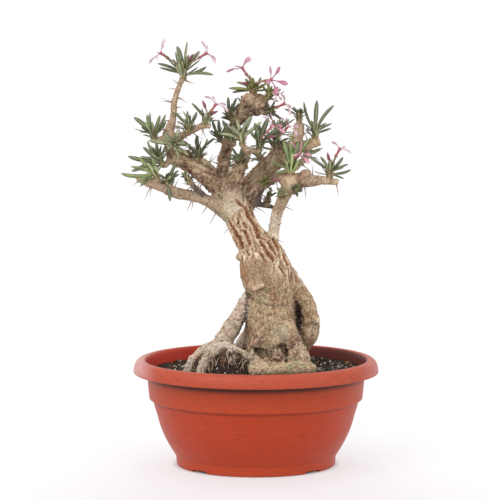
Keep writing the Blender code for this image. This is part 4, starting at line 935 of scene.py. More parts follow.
def addPetal(build, start, way, towards, kind, bend, draw):
    points, faces, colours = build
    length, half, curl, twist, *paints = kind
    length *= draw.uniform(0.9, 1.08)
    columns, rows = 5, 11
    sheets = []
    twist = twist * draw.uniform(0.8, 1.3)
    for lift in (0.28, -0.28):
        first = len(points)
        for row in range(rows):
            share = row / (rows - 1)
            spot = arcSpot(start, way, towards, length, bend * curl / 0.85, share)
            ahead = (arcSpot(start, way, towards, length, bend * curl / 0.85, share + 0.02) - spot).normalized()
            side = ahead.cross(-towards)
            side = (side if side.length > 0.1 else ahead.orthogonal()).normalized()
            side = turned(side, twist * (0.35 + 0.65 * share), ahead)
            top = side.cross(ahead)
            blunt = math.sqrt(max(0, 1 - max(0, (share - 0.82) / 0.18) ** 2))
            wide = half * (0.2 + 0.8 * float(smoothStep(0.3, 0.75, share))) * (0.3 + 0.7 * blunt)
            for column in range(columns):
                x = 2 * column / (columns - 1) - 1
                reach = 0.5 * (1 - abs(x)) * (1 - blunt) * half * 0.5
                ruffle = 0.25 * half * (x * x) + 0.1 * half * math.sin(9 * share + 3 * x)
                points.append((spot + side * x * wide + ahead * reach + top * (ruffle * share + lift)) * mm)
                colour = threeTints(paints, share)
                depth = 1 - 0.16 * (1 - abs(x)) * (1 - share)
                colours.append([c * depth for c in colour])
        sheets.append(first)
    upper, lower = sheets
    for row in range(rows - 1):
        for column in range(columns - 1):
            a = row * columns + column
            quad = (a, a + 1, a + columns + 1, a + columns)
            faces.append(tuple(upper + k for k in quad))
            faces.append(tuple(lower + k for k in reversed(quad)))
    border = [*range(columns), *(r * columns + columns - 1 for r in range(1, rows)),
              *((rows - 1) * columns + c for c in range(columns - 2, -1, -1)),
              *(r * columns for r in range(rows - 2, 0, -1))]
    for a, b in zip(border, border[1:] + border[:1]):
        faces.append((upper + b, upper + a, lower + a, lower + b))


def addStalk(build, path, sides, paints, ribs=0.0, twist=0.0):  # a tube with long ribs, coloured along its length
    points, faces, colours = build
    first = len(points)
    tubeInto(points, faces, path, sides)
    for row in range(len(path)):
        middle = Vector(path[row][:3]) * mm
        for n in range(sides):
            k = first + row * sides + n
            fold = math.cos(5 * math.tau * n / sides + twist * row)
            points[k] = middle + (points[k] - middle) * (1 + ribs * fold)
            colour = threeTints(paints, row / (len(path) - 1))
            colours.append([c * (1 + 0.5 * ribs * fold) for c in colour])


def makeSpray(name, number, flowers, plan):
    seat, axis = leafPlan["shoots"][name][:2]
    seat, axis = Vector(seat), Vector(axis).normalized()
    draw = random.Random(40 + number)
    foot = seat + axis * 8.6
    build = ([], [], [])
    addStalk(build, [(*(foot + axis * h), r) for h, r in ((-0.6, 1.6), (0.6, 1.3), (2.4, 1.05), (4, 0.9))], 10,
             [(120, 128, 78), (140, 116, 80), (150, 100, 84)])
    for kind, angle, forward, length, turn in flowers:
        way = seenWay(angle, forward)
        start = foot + axis * 2.4
        tip = start + way * length
        if kind == "bud":
            outline = ((0, 0.8), (length - 11, 0.85), (length - 9.5, 1.5), (length - 7, 1.85), (length - 4.5, 1.6),
                       (length - 2, 1.0), (length - 0.6, 0.6), (length, 0.2))
            addStalk(build, curvedRun([(*(start + way * h), r) for h, r in outline], 2), 20, plan["bud"], 0.12, 0.5)
            continue
        bell = max(length - 13, 1)
        outline = ((0, 0.85), (0.6 * bell, 0.85), (bell, 1.0), (bell + 1.2, 1.5), (bell + 5, 1.35), (bell + 9, 1.7),
                   (length - 1.2, 2.05), (length, 1.9))
        addStalk(build, curvedRun([(*(start + way * h), r) for h, r in outline], 2), 20, plan["tube"], 0.06, 0.1)
        side = way.orthogonal().normalized()
        for k in range(5):
            out = turned(side, math.tau * k / 5 + math.radians(turn), way)
            root = tip - way * 1.6 + out * 1.1
            lean = (out * 0.85 + way * 0.55).normalized()
            addPetal(build, root, lean, -way, plan["kinds"][kind], 0.7 + 0.2 * math.sin(2.3 * k + turn), draw)
        for k in range(5):  # the calyx at the foot of the tube
            out = turned(side, math.tau * k / 5 + 0.4, way)
            sepal = [(*(start + way * (bell + h) + out * r), thick)
                     for h, r, thick in ((-0.4, 0.9, 0.7), (1.4, 1.7, 0.55), (3.4, 2.3, 0.1))]
            addStalk(build, sepal, 6, [(118, 124, 74), (150, 120, 84), (170, 110, 90)])
    spray = paintedPiece(build, "spray." + name, "petalColour")
    settle(spray, "flower", nodeName("spray", name))
    return spray


def petalSkin():
    material, tree, shader = newFinish("petalSkin", tint(214, 140, 160), 0.6)
    veins = noiseOf(tree, placeOf(tree), 0.9, 3, 0.6)
    shades = rampOf(tree, veins, [(0.3, 0.86), (0.7, 1.12)])
    finishWith(tree, shader, mixOf(tree, 1.0, paintOf(tree, "petalColour"), shades, "MULTIPLY"))
    shader.inputs["Sheen Weight"].default_value = 0.25
    shader.inputs["Subsurface Weight"].default_value = 0.12
    shader.inputs["Subsurface Radius"].default_value = (0.003, 0.0012, 0.0012)
    bumpOf(tree, shader, veins, 0.12, 0.5)
    return material


petalFinish = petalSkin()
for number, (name, flowers) in enumerate(flowerPlan["sprays"].items()):
    makeSpray(name, number, flowers, flowerPlan).data.materials.append(petalFinish)
print("flowers")

# Wood: the swollen base with its roots, the trunk and every branch, grown as one
woodPlan = {
    "voxel": 1.42,
    "cutBelow": 106,
    "limbs": {
        "base": [(18, 0, 106, 30), (18, 0, 126, 28), (17, 0, 145, 30), (17, 0, 163, 30.5), (17, 0, 182, 30),
            (17, 0, 202, 29), (17, 0, 220, 31), (11.5, 0, 239, 31.5), (5.5, 0, 257, 27.5), (-2, 0, 272, 21)],
        "trunk": [(6, 0, 257, 24), (-3.5, 0, 273, 20), (-13.5, 0, 288, 17.4), (-21, 0, 304, 16.4), (-24, 0, 320, 16)],
        "centreFront": [(-25, -4, 312, 13), (-28, -12, 328, 11.5), (-28, -18, 346, 11), (-22, -24, 361, 9.2),
            (-15, -27, 376, 7.5), (-10, -28, 388, 5)],
        "rightMain": [(-22, 2, 318, 14), (-10, 6, 338, 13), (4, 8, 353, 12.5), (19, 8, 368, 12),
            (34, 9, 381, 11), (45, 12, 389, 8.5)],
        "rightKnob": [(44, 12, 388, 8), (51, 16, 402, 7.2), (53, 18, 417, 6.2)],
        "rightEnd": [(42, 12, 387, 8), (56, 18, 389, 6.8), (68, 22, 392, 6.2), (78, 24, 395, 5.6)],
        "shoulder": [(14, 0, 262, 13), (20, 0, 275, 8), (22, -2, 289, 6.8), (25, -8, 307, 7),
            (29.5, -14, 320, 6.8), (36, -18, 335, 8.2), (42, -21, 348, 9.4), (44, -22, 354, 9)],
        "rightLow": [(42, -20, 350, 9.3), (53, -24, 351, 8.6), (66, -26, 350, 7.6), (77, -27, 351, 5.8),
            (89, -28, 350, 4.6), (99.5, -28, 348.5, 3.6)],
        "leftMain": [(-27, 0, 318, 14), (-42, -3, 337, 12.5), (-57, -6, 352, 12), (-73, -8, 364, 11),
            (-88, -6, 373, 9.6), (-102, -4, 379, 8)],
        "leftRise": [(-98, -4, 376, 8), (-104, -4, 391, 8), (-107, -4, 406, 6.6), (-104, -2, 414, 5.6),
            (-101, 2, 423, 4.4), (-100, 4, 432, 3.9), (-99.5, 7, 443, 3.9), (-96, 9, 456, 3.4),
            (-92.5, 10, 465, 3.4), (-89.5, 12, 473, 3.4)],
        "leftTwig": [(-99, -2, 398, 6), (-87.5, -8, 405, 4.2), (-75.5, -13, 411, 3.8), (-65, -17, 416, 3.6),
            (-54.5, -19, 416, 3.1)],
        "backUpright": [(-28, 6, 322, 12), (-40, 14, 346, 9.4), (-40, 22, 366, 8.2), (-36, 26, 385, 7.2),
            (-31, 26, 402, 6.7), (-24.5, 22, 417, 7), (-17, 20, 428, 9.5), (-10, 18, 436, 12.5),
            (-2, 16, 440, 14.5), (2, 16, 443, 12), (-2, 15, 446, 9)],
        "leftLow": [(-24, -4, 298, 9), (-36, -4, 308, 8.4), (-48, -6, 318, 8), (-64, -12, 327, 6.8),
            (-80, -20, 332, 6.6), (-97, -28, 336, 7), (-113, -36, 344, 6.6), (-129, -42, 350, 6.2),
            (-138, -46, 354, 5), (-144, -47, 356.5, 3.2)],
        "leftSpur": [(-62, -12, 328, 4.5), (-66, -18, 334, 4), (-74, -26, 342, 3.4), (-80, -34, 350, 3)],
        "darkStub": [(-18, 8, 310, 9), (-12, 18, 315, 8), (-5, 28, 322, 8), (1, 34, 328, 8.6)],
        "darkTwig": [(-4, 26, 319, 5), (4, 31, 317, 3.6), (13, 34, 315, 3.2), (22, 36, 313, 2.6)],
        "backRight": [(-14, 8, 316, 12), (-2, 24, 330, 9), (8, 42, 344, 7.5), (16, 58, 360, 6.4),
            (22, 70, 378, 5.4), (26, 78, 394, 4.4)],
        "backLeft": [(-24, 8, 316, 10), (-32, 28, 330, 8), (-42, 48, 344, 6.8), (-54, 62, 356, 5.6),
            (-66, 70, 368, 4.6)],
        "backReach": [(6, 36, 340, 6.5), (24, 50, 348, 5.6), (42, 60, 356, 5), (58, 66, 368, 4.2)],
    },
    "roots": {
        "left": [(2, 0, 214, 9.5), (-9.5, -3, 204, 8.8), (-16.8, -8, 190, 9.7), (-26.4, -14, 175, 10.9),
            (-35.4, -20, 161, 11.2), (-42.5, -25, 151, 10.8)],
        "fingerFar": [(-43, -25, 150, 9), (-56, -28, 148, 6.6), (-67, -31, 142, 5.8), (-76, -34, 134, 5.2),
            (-82, -36, 124, 5), (-84, -37, 112, 5)],
        "fingerFront": [(-44, -27, 149, 9), (-53, -37, 143, 6.6), (-61, -46, 135, 5.8), (-67, -52, 124, 5.4),
            (-69, -54, 112, 5)],
        "fingerBack": [(-42, -24, 150, 9), (-43, -16, 138, 7), (-46, -8, 124, 6), (-47, -4, 112, 6)],
        "fingerMiddle": [(-42, -27, 148, 8.5), (-40, -36, 136, 6), (-41, -41, 124, 5.4), (-41, -43, 112, 5)],
        "cross": [(-38, -28, 151, 5), (-26, -37, 148, 3.6), (-15, -43, 142, 3.5), (-6, -44, 135, 5)],
        "slab": [(-8, -44, 121.5, 8.8), (6, -47, 122, 9.2), (26, -48, 122.5, 9.4), (48, -46, 122.5, 9.6),
            (62, -41, 121.5, 9.4), (70, -37, 119.5, 8)],
        "footLeft": [(8, -14, 170, 15), (1, -24, 156, 10), (-4, -33, 144, 8), (-7, -41, 134, 8)],
        "footMiddle": [(20, -18, 160, 13), (24, -28, 149, 8.5), (26, -36, 141, 6.5), (27, -42, 134, 7)],
        "footRight": [(32, -10, 172, 16), (41, -19, 158, 12.5), (50, -27, 146, 10), (57, -33, 134, 9),
            (60, -35, 116, 8)],
        "right": [(24, 0, 244, 14), (38, 2, 228, 14), (50, 4, 212, 12.5), (60, 6, 199, 11.4), (65, 7, 185, 11),
            (67, 8, 170, 11), (65, 8, 157, 11.2), (58, 9, 144, 9.5), (51, 10, 126, 8.5), (48, 10, 112, 8)],
        "rightInner": [(30, 10, 240, 12), (42, 14, 215, 14), (48, 15, 188, 14), (48, 14, 160, 14),
            (42, 12, 130, 13), (42, 12, 112, 12)],
        "heel": [(24, 12, 172, 18), (32, 28, 156, 13), (38, 40, 142, 11), (42, 50, 126, 9), (43, 52, 112, 8)],
        "heelLeft": [(6, 12, 170, 17), (-6, 26, 154, 12), (-16, 38, 140, 10), (-24, 48, 125, 8.5),
            (-26, 50, 112, 8)],
    },
    "knobs": [(-19, -8, 256, 5.5), (32, -8, 254, 6), (73, -2, 178, 6), (2, -22, 226, 8), (16, -26, 221, 7),
        (-12, -26, 386, 6), (34, -22, 352, 8), (-9, 6, 446, 9), (8, 12, 440, 8), (-103, -6, 403, 7),
        (50, -14, 345, 9), (-34, -12, 345, 8), (-60, -14, 356, 8), (-84, -2, 378, 8), (20, -2, 374, 9),
        (40, 2, 372, 9), (60, -28, 358, 7), (-96, -10, 372, 7)],
    "ropes": (6, 75),  # how many wind up the trunk, and by how many degrees
    # the bark at the start and at the end of each limb
    "skins": {
        "stem": ("caudex", "rope"), "centreFront": ("smooth", "rough"),
        "rightMain": ("rough", "rough"), "rightKnob": ("rough", "young"), "rightEnd": ("rough", "young"),
        "shoulder": ("smooth", "young"), "rightLow": ("rough", "young"), "leftMain": ("rough", "rough"),
        "leftRise": ("rough", "young"), "leftTwig": ("young", "young"), "backUpright": ("rough", "rough"),
        "leftLow": ("young", "young"), "leftSpur": ("grey", "grey"), "darkStub": ("grey", "grey"),
        "darkTwig": ("grey", "grey"), "backRight": ("grey", "young"), "backLeft": ("rough", "young"),
        "backReach": ("rough", "young"), "right": ("caudex", "caudex"), "rightInner": ("caudex", "caudex"),
        "slab": ("slab", "slab"), "heel": ("caudex", "root"), "heelLeft": ("caudex", "root"),
        "footLeft": ("caudex", "knotty"), "footMiddle": ("caudex", "knotty"), "footRight": ("caudex", "knotty"),
        "fingerMiddle": ("peat", "peat"), "fingerBack": ("peat", "peat"),
    },
    # clefts, cut in and darkened with painted shade: how dark, then rows of x, y, z, reach and depth
    "clefts": [
        (1, [(49.5, -6, 200, 3, 2), (51, -5, 193, 4.6, 4), (52, -4, 184, 5.2, 6), (52.5, -4, 174, 5.4, 6),
             (54, -5, 165, 4.4, 4), (57, -7, 154, 2.6, 2.4), (60, -10, 146, 2, 2)]),
        (1, [(-1, -36, 147, 4, 3), (2, -38, 145, 4.6, 5), (9.6, -38, 142.5, 5, 6), (15, -38, 139, 4, 4)]),
        (0.8, [(-13, -4, 214, 2.6, 3), (-9, -14, 209, 3, 3), (-5, -20, 206, 2.2, 2)]),
        (0.3, [(-5, -20, 206, 2, 1.6), (3, -26, 202, 1.8, 1.2), (12, -29, 200, 1.6, 0.8)]),
        (0.85, [(20, -34, 147, 2.4, 2), (26, -35, 149, 2.8, 3), (32, -33, 150, 3, 3), (36, -31, 147, 2.4, 2)]),
        (0.9, [(33, -40, 137, 2.6, 2.5), (37, -39, 134, 3.2, 3), (39, -38, 131, 2.4, 2)]),
        (1, [(56, -20, 146, 3, 2), (61, -22, 131, 4, 3)]),
        (0.45, [(12, -30, 200, 2, 1.2), (20, -30, 198.5, 1.8, 1), (30, -27, 198, 2, 0.8), (39, -21, 199, 2, 0.8)]),
        (0.8, [(-10.5, -10, 205, 2.4, 2), (-12.5, -12, 192, 3.2, 3), (-14, -14, 180, 3.6, 3.6),
               (-16, -18, 168, 3.6, 3), (-22, -24, 158, 2.6, 1.5)]),
        (0.6, [(-4, 0, 423, 2.4, 1), (2, 0, 421, 2.4, 1), (7, 0, 425, 2, 1)]),
    ],
    # furrows down the front of the trunk: rows of x, z and half width
    "furrows": [
        [(-34.1, 304.3, 0.5), (-31.3, 298.8, 0.9), (-27.4, 291.8, 1.3), (-23.6, 284.8, 1.8), (-20.4, 278.6, 2.2),
         (-18.1, 273.1, 1.9), (-16.5, 268.1, 1.6)],
        [(-15.8, 298.8, 0.8), (-13.4, 294.9, 1.1), (-11.5, 291.4, 0.8)],
        [(-23.2, 304.3, 0.5), (-21.4, 300.4, 0.8), (-22.6, 295.7, 0.6)],
        [(-19.3, 289.1, 0.6), (-15.0, 288.8, 1.1), (-11.9, 285.2, 1.4), (-9.9, 280.1, 1.5), (-8.8, 275.5, 1.4),
         (-6.4, 272.0, 1.0)],
        [(-13.8, 317.5, 0.9), (-12.7, 313.6, 1.1), (-10.3, 308.1, 1.3), (-7.6, 302.7, 1.4), (-4.1, 297.3, 1.6),
         (-0.2, 291.8, 2.0), (1.7, 287.1, 2.2), (3.3, 280.1, 1.9), (7.6, 278.6, 0.8), (12.3, 277.6, 0.7)],
        [(4.5, 276.2, 1.0), (8.0, 271.6, 1.4), (11.5, 266.9, 1.6), (15.4, 262.2, 2.0), (18.5, 257.6, 1.9),
         (20.4, 253.3, 1.1)],
        [(14.6, 274.7, 1.3), (17.7, 270.0, 1.7), (20.8, 265.3, 1.5), (23.9, 260.3, 1.0)],
        [(20.8, 277.8, 1.0), (22.8, 273.1, 1.3), (25.1, 268.5, 1.2), (27.0, 264.9, 0.8)],
        [(-1.0, 270.4, 0.8), (0.7, 264.2, 1.0)],
        [(3.7, 264.6, 0.7), (6.8, 259.9, 0.9), (9.9, 254.4, 0.9), (12.4, 250.9, 0.6)],
        [(-36.8, 294.9, 0.6), (-33.3, 287.1, 0.9), (-29.6, 282.1, 0.9), (-24.3, 274.3, 1.0), (-22.0, 270.0, 0.7)],
        [(-24.7, 327.2, 0.8), (-19.3, 321.4, 1.2), (-16.4, 318.7, 0.9)],
        [(-11.1, 321.4, 0.6), (-6.4, 312.0, 0.7), (-0.2, 302.7, 0.7), (6.0, 293.4, 0.8), (11.1, 284.4, 0.7)],
        [(-11.1, 263.8, 0.6), (-8.4, 259.5, 0.8)],
        [(32.5, 259.9, 0.8), (34.2, 252.9, 0.9), (38.3, 246.5, 0.7)],
        [(27.8, 246.7, 0.7), (31.7, 240.0, 0.9), (35.2, 233.8, 0.7)],
        [(-16.5, 256.8, 0.8), (-15.4, 247.4, 0.7), (-13.0, 239.7, 0.6), (-10.7, 231.9, 0.5)],
        [(-3.3, 260.7, 0.5), (-4.1, 254.4, 0.7), (-0.2, 249.0, 0.5)],
        [(-31.3, 266.9, 0.5), (-26.7, 263.8, 0.5)],
    ],
    "lumps": [(-7, -26, 222, 4.4), (-3, -29, 219, 3.8), (2, -30, 220, 3.4), (7, -29, 223, 4.6), (21, -44, 138, 4.5),
              (31, -43, 137, 5), (40, -43, 136, 4.5), (50, -40, 136, 6), (14, -44, 135, 4), (3, -44, 134, 5),
              (27, -38, 144, 4), (43, -36, 142, 5), (57, -38, 131, 6), (-1, -44, 131, 6), (68, -34, 123, 6),
              (-60, -34, 146, 5), (-50, -34, 149, 6), (-36, -34, 149, 5), (-30, -36, 143, 4)],
    # patches of another colour: x, y, z, reach, colour, strength; the dark ones marked below are painted shade
    "patches": [
        ((-6, -27, 221), 3.4, (232, 204, 184), 0.9), ((-1, -31, 219), 3.8, (228, 194, 172), 0.9),
        ((3, -31, 222.5), 2.8, (236, 214, 192), 0.8), ((7.2, -32, 224), 3.2, (246, 238, 218), 1),
        ((13, -32, 219), 6.5, (130, 126, 88), 0.75), ((17, -31, 224), 3, (96, 68, 50), 0.8),
        ((77.3, -6, 178.3), 4, (232, 216, 186), 0.9),
        ((41.8, -28, 350.2), 7, (206, 182, 146), 0.8), ((-134.6, -46, 355.2), 9, (212, 182, 160), 0.6),
        ((74, 20, 394), 8, (208, 176, 136), 0.7), ((98.9, -28, 349), 8, (210, 188, 156), 0.7),
        ((6, -26, 238), 26, (146, 118, 90), 0.6), ((-15, -12, 240), 15, (160, 112, 74), 0.6),
        ((-11, -18, 226), 8, (160, 108, 72), 0.7), ((-8, -26, 170), 7, (160, 104, 72), 0.5),
        # painted shade on the right of the left root, where it meets the trunk
        ((-15, -18, 168), 8, (94, 76, 58), 0.7), ((-19, -22, 158), 7, (84, 66, 50), 0.7),
        ((47, -22, 225), 8, (174, 132, 94), 0.5), ((30, -30, 166), 14, (188, 176, 154), 0.45),
        ((20, -32, 158), 14, (172, 158, 112), 0.3), ((-19, -8, 256), 6, (196, 166, 136), 0.6),
        ((52, 18, 416), 5, (210, 182, 138), 0.5), ((-36, -10, 306), 10, (156, 152, 122), 0.6),
        ((-48, -12, 318), 8, (160, 150, 124), 0.4), ((-118, -44, 346), 16, (206, 170, 148), 0.5),
        ((2, -6, 352), 15, (184, 162, 134), 0.5), ((22, -4, 367), 15, (180, 158, 130), 0.5),
        ((-28, -20, 330), 14, (188, 164, 136), 0.5), ((34, -22, 337), 14, (160, 136, 110), 0.55),
        # the first is painted shade in the fork behind the trunk
        ((2, 20, 330), 17, (96, 80, 72), 0.85), ((3, 20, 322), 4, (112, 62, 46), 0.8),
        ((-5, 4, 448), 13, (186, 160, 132), 0.7), ((-1.7, 4, 430), 9, (74, 54, 44), 0.9),
        ((-62, -34, 136), 7, (216, 182, 158), 0.5), ((-74, -36, 138), 8, (212, 178, 156), 0.5),
    ],
    "threads": 66,
    "threadRoots": ("fingerFar", "fingerFront", "fingerMiddle", "cross", "fingerBack"),
    "spines": {"spacing": 7.5, "length": 15, "radius": 0.72},
    "spiny": {"leftRise": 1, "leftTwig": 1, "leftLow": 0.55, "rightLow": 0.7, "rightEnd": 0.5, "backRight": 0.7,
              "backLeft": 0.7, "backReach": 0.7, "leftSpur": 0.6, "shoulder": 0.25, "centreFront": 0.3,
              "leftMain": 0.25, "rightMain": 0.25, "backUpright": 0.3, "rightKnob": 0.4},
}


def limbPaths(plan):
    return {name: curvedRun(rows, 4) for name, rows in (*plan["limbs"].items(), *plan["roots"].items())}


def ropePaths(trunk, ropes):
    count, twist = ropes
    made = []
    for rope in range(count):
        rows = []
        for step, (x, y, z, radius) in enumerate(trunk):
            turn = math.tau * rope / count + math.radians(twist) * step / (len(trunk) - 1)
            out = 0.66 * radius
            thick = radius * (0.42 + 0.08 * math.sin(3.1 * rope + 1.7 * step))
            rows.append((x + out * math.cos(turn), y + out * math.sin(turn), z, thick))
        made.append(curvedRun(rows, 4))
    return made


def onePath(path, spots):  # each spot in the bark's own terms: gap to the bark, along, and two across
    rows = np.array(path)
    middle, radius = rows[:, :3], rows[:, 3]
    along = np.gradient(middle, axis=0)
    along /= np.linalg.norm(along, axis=1)[:, None]
    out = np.zeros_like(along)
    last = np.cross(along[0], (0.3, 0.2, 0.93))
    for k, way in enumerate(along):
        last = last - way * last.dot(way)
        last /= np.linalg.norm(last)
        out[k] = last
    side = np.cross(along, out)
    travelled = np.concatenate([[0], np.cumsum(np.linalg.norm(np.diff(middle, axis=0), axis=1))])
    gap = np.full(len(spots), 99.0)
    near = np.zeros(len(spots), np.int64)
    for k in range(len(rows)):
        away = np.linalg.norm(spots - middle[k], axis=1) - radius[k]
        near = np.where(away < gap, k, near)
        gap = np.minimum(gap, away)
    offset = spots - middle[near]
    ahead = (offset * along[near]).sum(1)
    share = (travelled[near] + ahead) / travelled[-1]
    return gap, travelled[near] + ahead, (offset * out[near]).sum(1), (offset * side[near]).sum(1), share


def barkSkin(kind, along, a, b, spots, seed, calm=0):  # how far the bark stands out, in millimetres, and its colour
    fine = layered(spots / 2.1, 2, seed)
    wide = layered(spots / 17, 2, seed + 40)

    def drawn(across, length):  # the bark's own spots, drawn out along the limb
        return np.stack([a / across, b / across, along / length], 1)

    def cloud(low, high, size, more):  # soft patches, 0 to 1
        return smoothStep(low, high, softNoise(spots / size, seed + more))

    if kind == "rope":
        turn = along * 0.011
        across = np.stack([a * np.cos(turn) + b * np.sin(turn), b * np.cos(turn) - a * np.sin(turn)], 1)
        rows = np.concatenate([across / 8.6, along[:, None] / 44], 1)
        rows = rows + 0.42 * np.stack([softNoise(rows * 2.2, 3), softNoise(rows * 2.2, 4), 0 * a], 1)
        split = np.abs(softNoise(rows, 5))
        thin = np.abs(softNoise(rows * (2.2, 2.2, 2.6) + 4.1, 6))
        furrow = (1 - smoothStep(0.05, 0.25, split)) * (1 - 0.5 * calm)
        crack = 1 - smoothStep(0.01, 0.17, thin)
        height = 1.0 - 3.0 * furrow - 1.1 * crack + 0.6 * fine
        colour = shade((214, 192, 164), (178, 150, 120), 0.5 + 1.1 * wide + 0.6 * fine)
        # the pale crests of the ropes beside the furrows are painted highlight
        return height, coats(
            colour, ((234, 216, 190), 0.8 * smoothStep(0.22, 0.32, split) * smoothStep(0.44, 0.32, split)),
            ((146, 102, 70), 0.75 * crack),
            ((142, 92, 58), furrow),
            ((84, 60, 46), 0.6 * smoothStep(0.25, 0.7, -fine)),
            ((84, 52, 36), (1 - smoothStep(0.0, 0.11, split)) * (1 - 0.5 * calm)))
    if kind == "caudex":
        near, after, draw = cellField(spots / 5.4, seed + 2)
        wart = smoothStep(0.4, 0.1, near) * (draw > 0.8)
        pit = smoothStep(0.3, 0.05, cellField(spots / 3.1, seed + 5)[0]) * smoothStep(0.0, 0.5, fine)
        streak = softNoise(drawn(2.3, 8), seed + 8)
        dots = softNoise(spots / 1.3, seed + 28)
        height = 0.9 * layered(spots / 9, 2, seed + 1) + 0.9 * wart - 0.7 * pit + 0.5 * fine
        height = height + 0.3 * streak + 0.2 * dots
        colour = shade((190, 162, 130), (158, 130, 98), 0.5 + 1.1 * wide)
        return height, coats(
            colour, ((160, 148, 108), 0.8 * cloud(0.1, 0.6, 21, 9)),
            ((168, 120, 82), 0.6 * cloud(0.2, 0.6, 15, 12)),
            ((210, 192, 162), 0.6 * smoothStep(0.12, 0.6, streak)),
            ((108, 84, 60), 0.5 * smoothStep(0.15, 0.6, -streak)),
            ((218, 202, 174), 0.7 * smoothStep(0.25, 0.6, dots)),
            ((88, 64, 46), smoothStep(0.12, 0.46, -fine - 0.4 * dots) * 0.85),
            ((74, 52, 40), pit),
            ((216, 198, 170), 0.7 * wart))
    if kind == "rough":
        near, after, draw = cellField(drawn(6.2, 6.2), seed + 2)
        stub = smoothStep(0.5, 0.05, near + 0.14 * fine)
        flake = 1 - smoothStep(0.0, 0.16, after - near)
        coarse = layered(drawn(4.4, 7.5), 2, seed + 1)
        height = 1.9 * stub * (0.5 + 0.6 * draw) + 1.4 * coarse - 0.4 * flake - 0.3
        colour = shade((166, 138, 110), (128, 101, 78), 0.5 + 1.4 * wide + 0.3 * fine)
        # lighter on the raised bark and darker in its hollows: partly the bark's own colour, partly painted highlight
        # and shade
        return height, coats(
            colour, ((150, 144, 104), 0.5 * cloud(0.15, 0.6, 13, 9)),
            ((150, 104, 78), 0.5 * cloud(0.2, 0.6, 10, 19)),
            ((208, 186, 156), smoothStep(0.1, 0.6, coarse) * 0.75),
            ((66, 47, 36), 0.85 * smoothStep(0.14, 0.6, -coarse)),
            ((86, 62, 48), 0.35 * flake),
            ((196, 168, 136), stub * (draw > 0.6) * 0.5))
    if kind == "young":
        near, after, draw = cellField(drawn(7.4, 7.4), seed + 2)
        stub = smoothStep(0.4, 0.06, near)
        line = softNoise(drawn(1.5, 9), seed + 6)
        height = 0.9 * stub * draw + 0.4 * layered(spots / 5, 2, seed + 1) + 0.22 * line
        colour = shade((188, 164, 138), (158, 132, 106), 0.5 + 1.2 * wide + 0.5 * line)
        return height, coats(
            colour, ((218, 198, 172), smoothStep(0.1, 0.7, fine) * 0.7),
            ((112, 84, 66), smoothStep(0.2, 0.75, -fine) * 0.75),
            ((122, 92, 72), stub * 0.6))
    if kind == "smooth":
        ring = softNoise(drawn(9, 1.7), seed + 6)
        height = 0.3 * ring + 0.35 * layered(spots / 7, 2, seed + 1)
        colour = shade((226, 210, 188), (204, 186, 164), 0.5 + 1.0 * wide)
        return height, coats(
            colour, ((236, 224, 202), smoothStep(0.1, 0.6, ring) * 0.6),
            ((192, 182, 148), 0.4 * cloud(0.1, 0.6, 9, 9)),
            ((142, 114, 88), smoothStep(0.2, 0.65, -fine) * 0.7))
    if kind == "knotty":
        near, after, draw = cellField(drawn(6, 11) + 0.16 * fine[:, None], seed + 2)
        seam = 1 - smoothStep(0.02, 0.34, after - near)
        height = 1.5 * smoothStep(0.62, 0.1, near) * (0.4 + 0.8 * draw) - 1.2 * seam + 0.5 * fine - 0.3
        colour = shade((186, 160, 130), (150, 120, 94), 0.5 + 1.3 * wide + 0.5 * fine)
        # pale tops on the bumps are painted highlight, and the darker low places painted shade
        colour = coats(
            colour, ((218, 202, 178), smoothStep(0.45, 0.12, near) * (draw > 0.4) * 0.6),
            ((224, 208, 184), smoothStep(0.15, 0.6, fine) * 0.6),
            ((88, 64, 50), smoothStep(0.2, 0.6, -fine) * 0.7),
            ((150, 98, 74), (draw < 0.16) * 0.35))
        # painted shade in the seams between the bumps
        gap = 0.9 * seam * cloud(-0.45, 0.2, 6, 15)
        return height, shade(colour, (64, 44, 34), gap)
    if kind == "grey":
        height = 0.5 * layered(spots / 4, 2, seed + 1)
        colour = shade((112, 98, 90), (80, 68, 62), 0.5 + 1.2 * wide)
        return height, shade(colour, (150, 134, 120), smoothStep(0.1, 0.7, fine) * 0.6)
    if kind == "peat":
        thread = softNoise(drawn(1.1, 8), seed + 6)
        height = 1.2 * layered(spots / 4, 2, seed + 1) + 0.7 * thread
        colour = shade((94, 62, 46), (46, 30, 24), 0.5 + 1.2 * wide + 0.7 * fine)
        return height, shade(colour, (160, 116, 82), smoothStep(0.2, 0.55, thread) * 0.5)
    near, after, draw = cellField(drawn(3.4, 5.5), seed + 2)
    crack = (1 - smoothStep(0.0, 0.2, after - near)) * cloud(-0.1, 0.5, 7, 15)
    height = 1.5 * layered(spots / 5.5, 2, seed + 1) - 0.8 * crack + 0.5 * fine
    if kind == "slab":
        height = 0.4 * height + 1.3 * softNoise(spots / 10, seed + 17) + 0.3 * softNoise(spots / 4, seed + 18)
        colour = shade((192, 168, 134), (158, 134, 98), 0.5 + 1.2 * wide)
        colour = coats(
            colour, ((150, 148, 106), 0.7 * cloud(0.05, 0.5, 9, 21)),
            ((164, 112, 88), 0.8 * cloud(0.15, 0.5, 5.5, 9)))
    else:
        colour = shade((216, 200, 182), (184, 164, 142), 0.5 + 1.1 * wide + 0.4 * draw)
        colour = shade(colour, (184, 138, 116), 0.6 * cloud(0.15, 0.55, 4.6, 9))
        colour = shade(colour, (98, 74, 60), 0.55 * cloud(0.2, 0.55, 3.4, 29))
    return height, coats(
        colour, ((232, 216, 194), smoothStep(0.1, 0.7, fine) * 0.7),
        ((84, 62, 48), 0.6 * crack + smoothStep(0.15, 0.6, -fine) * 0.8))


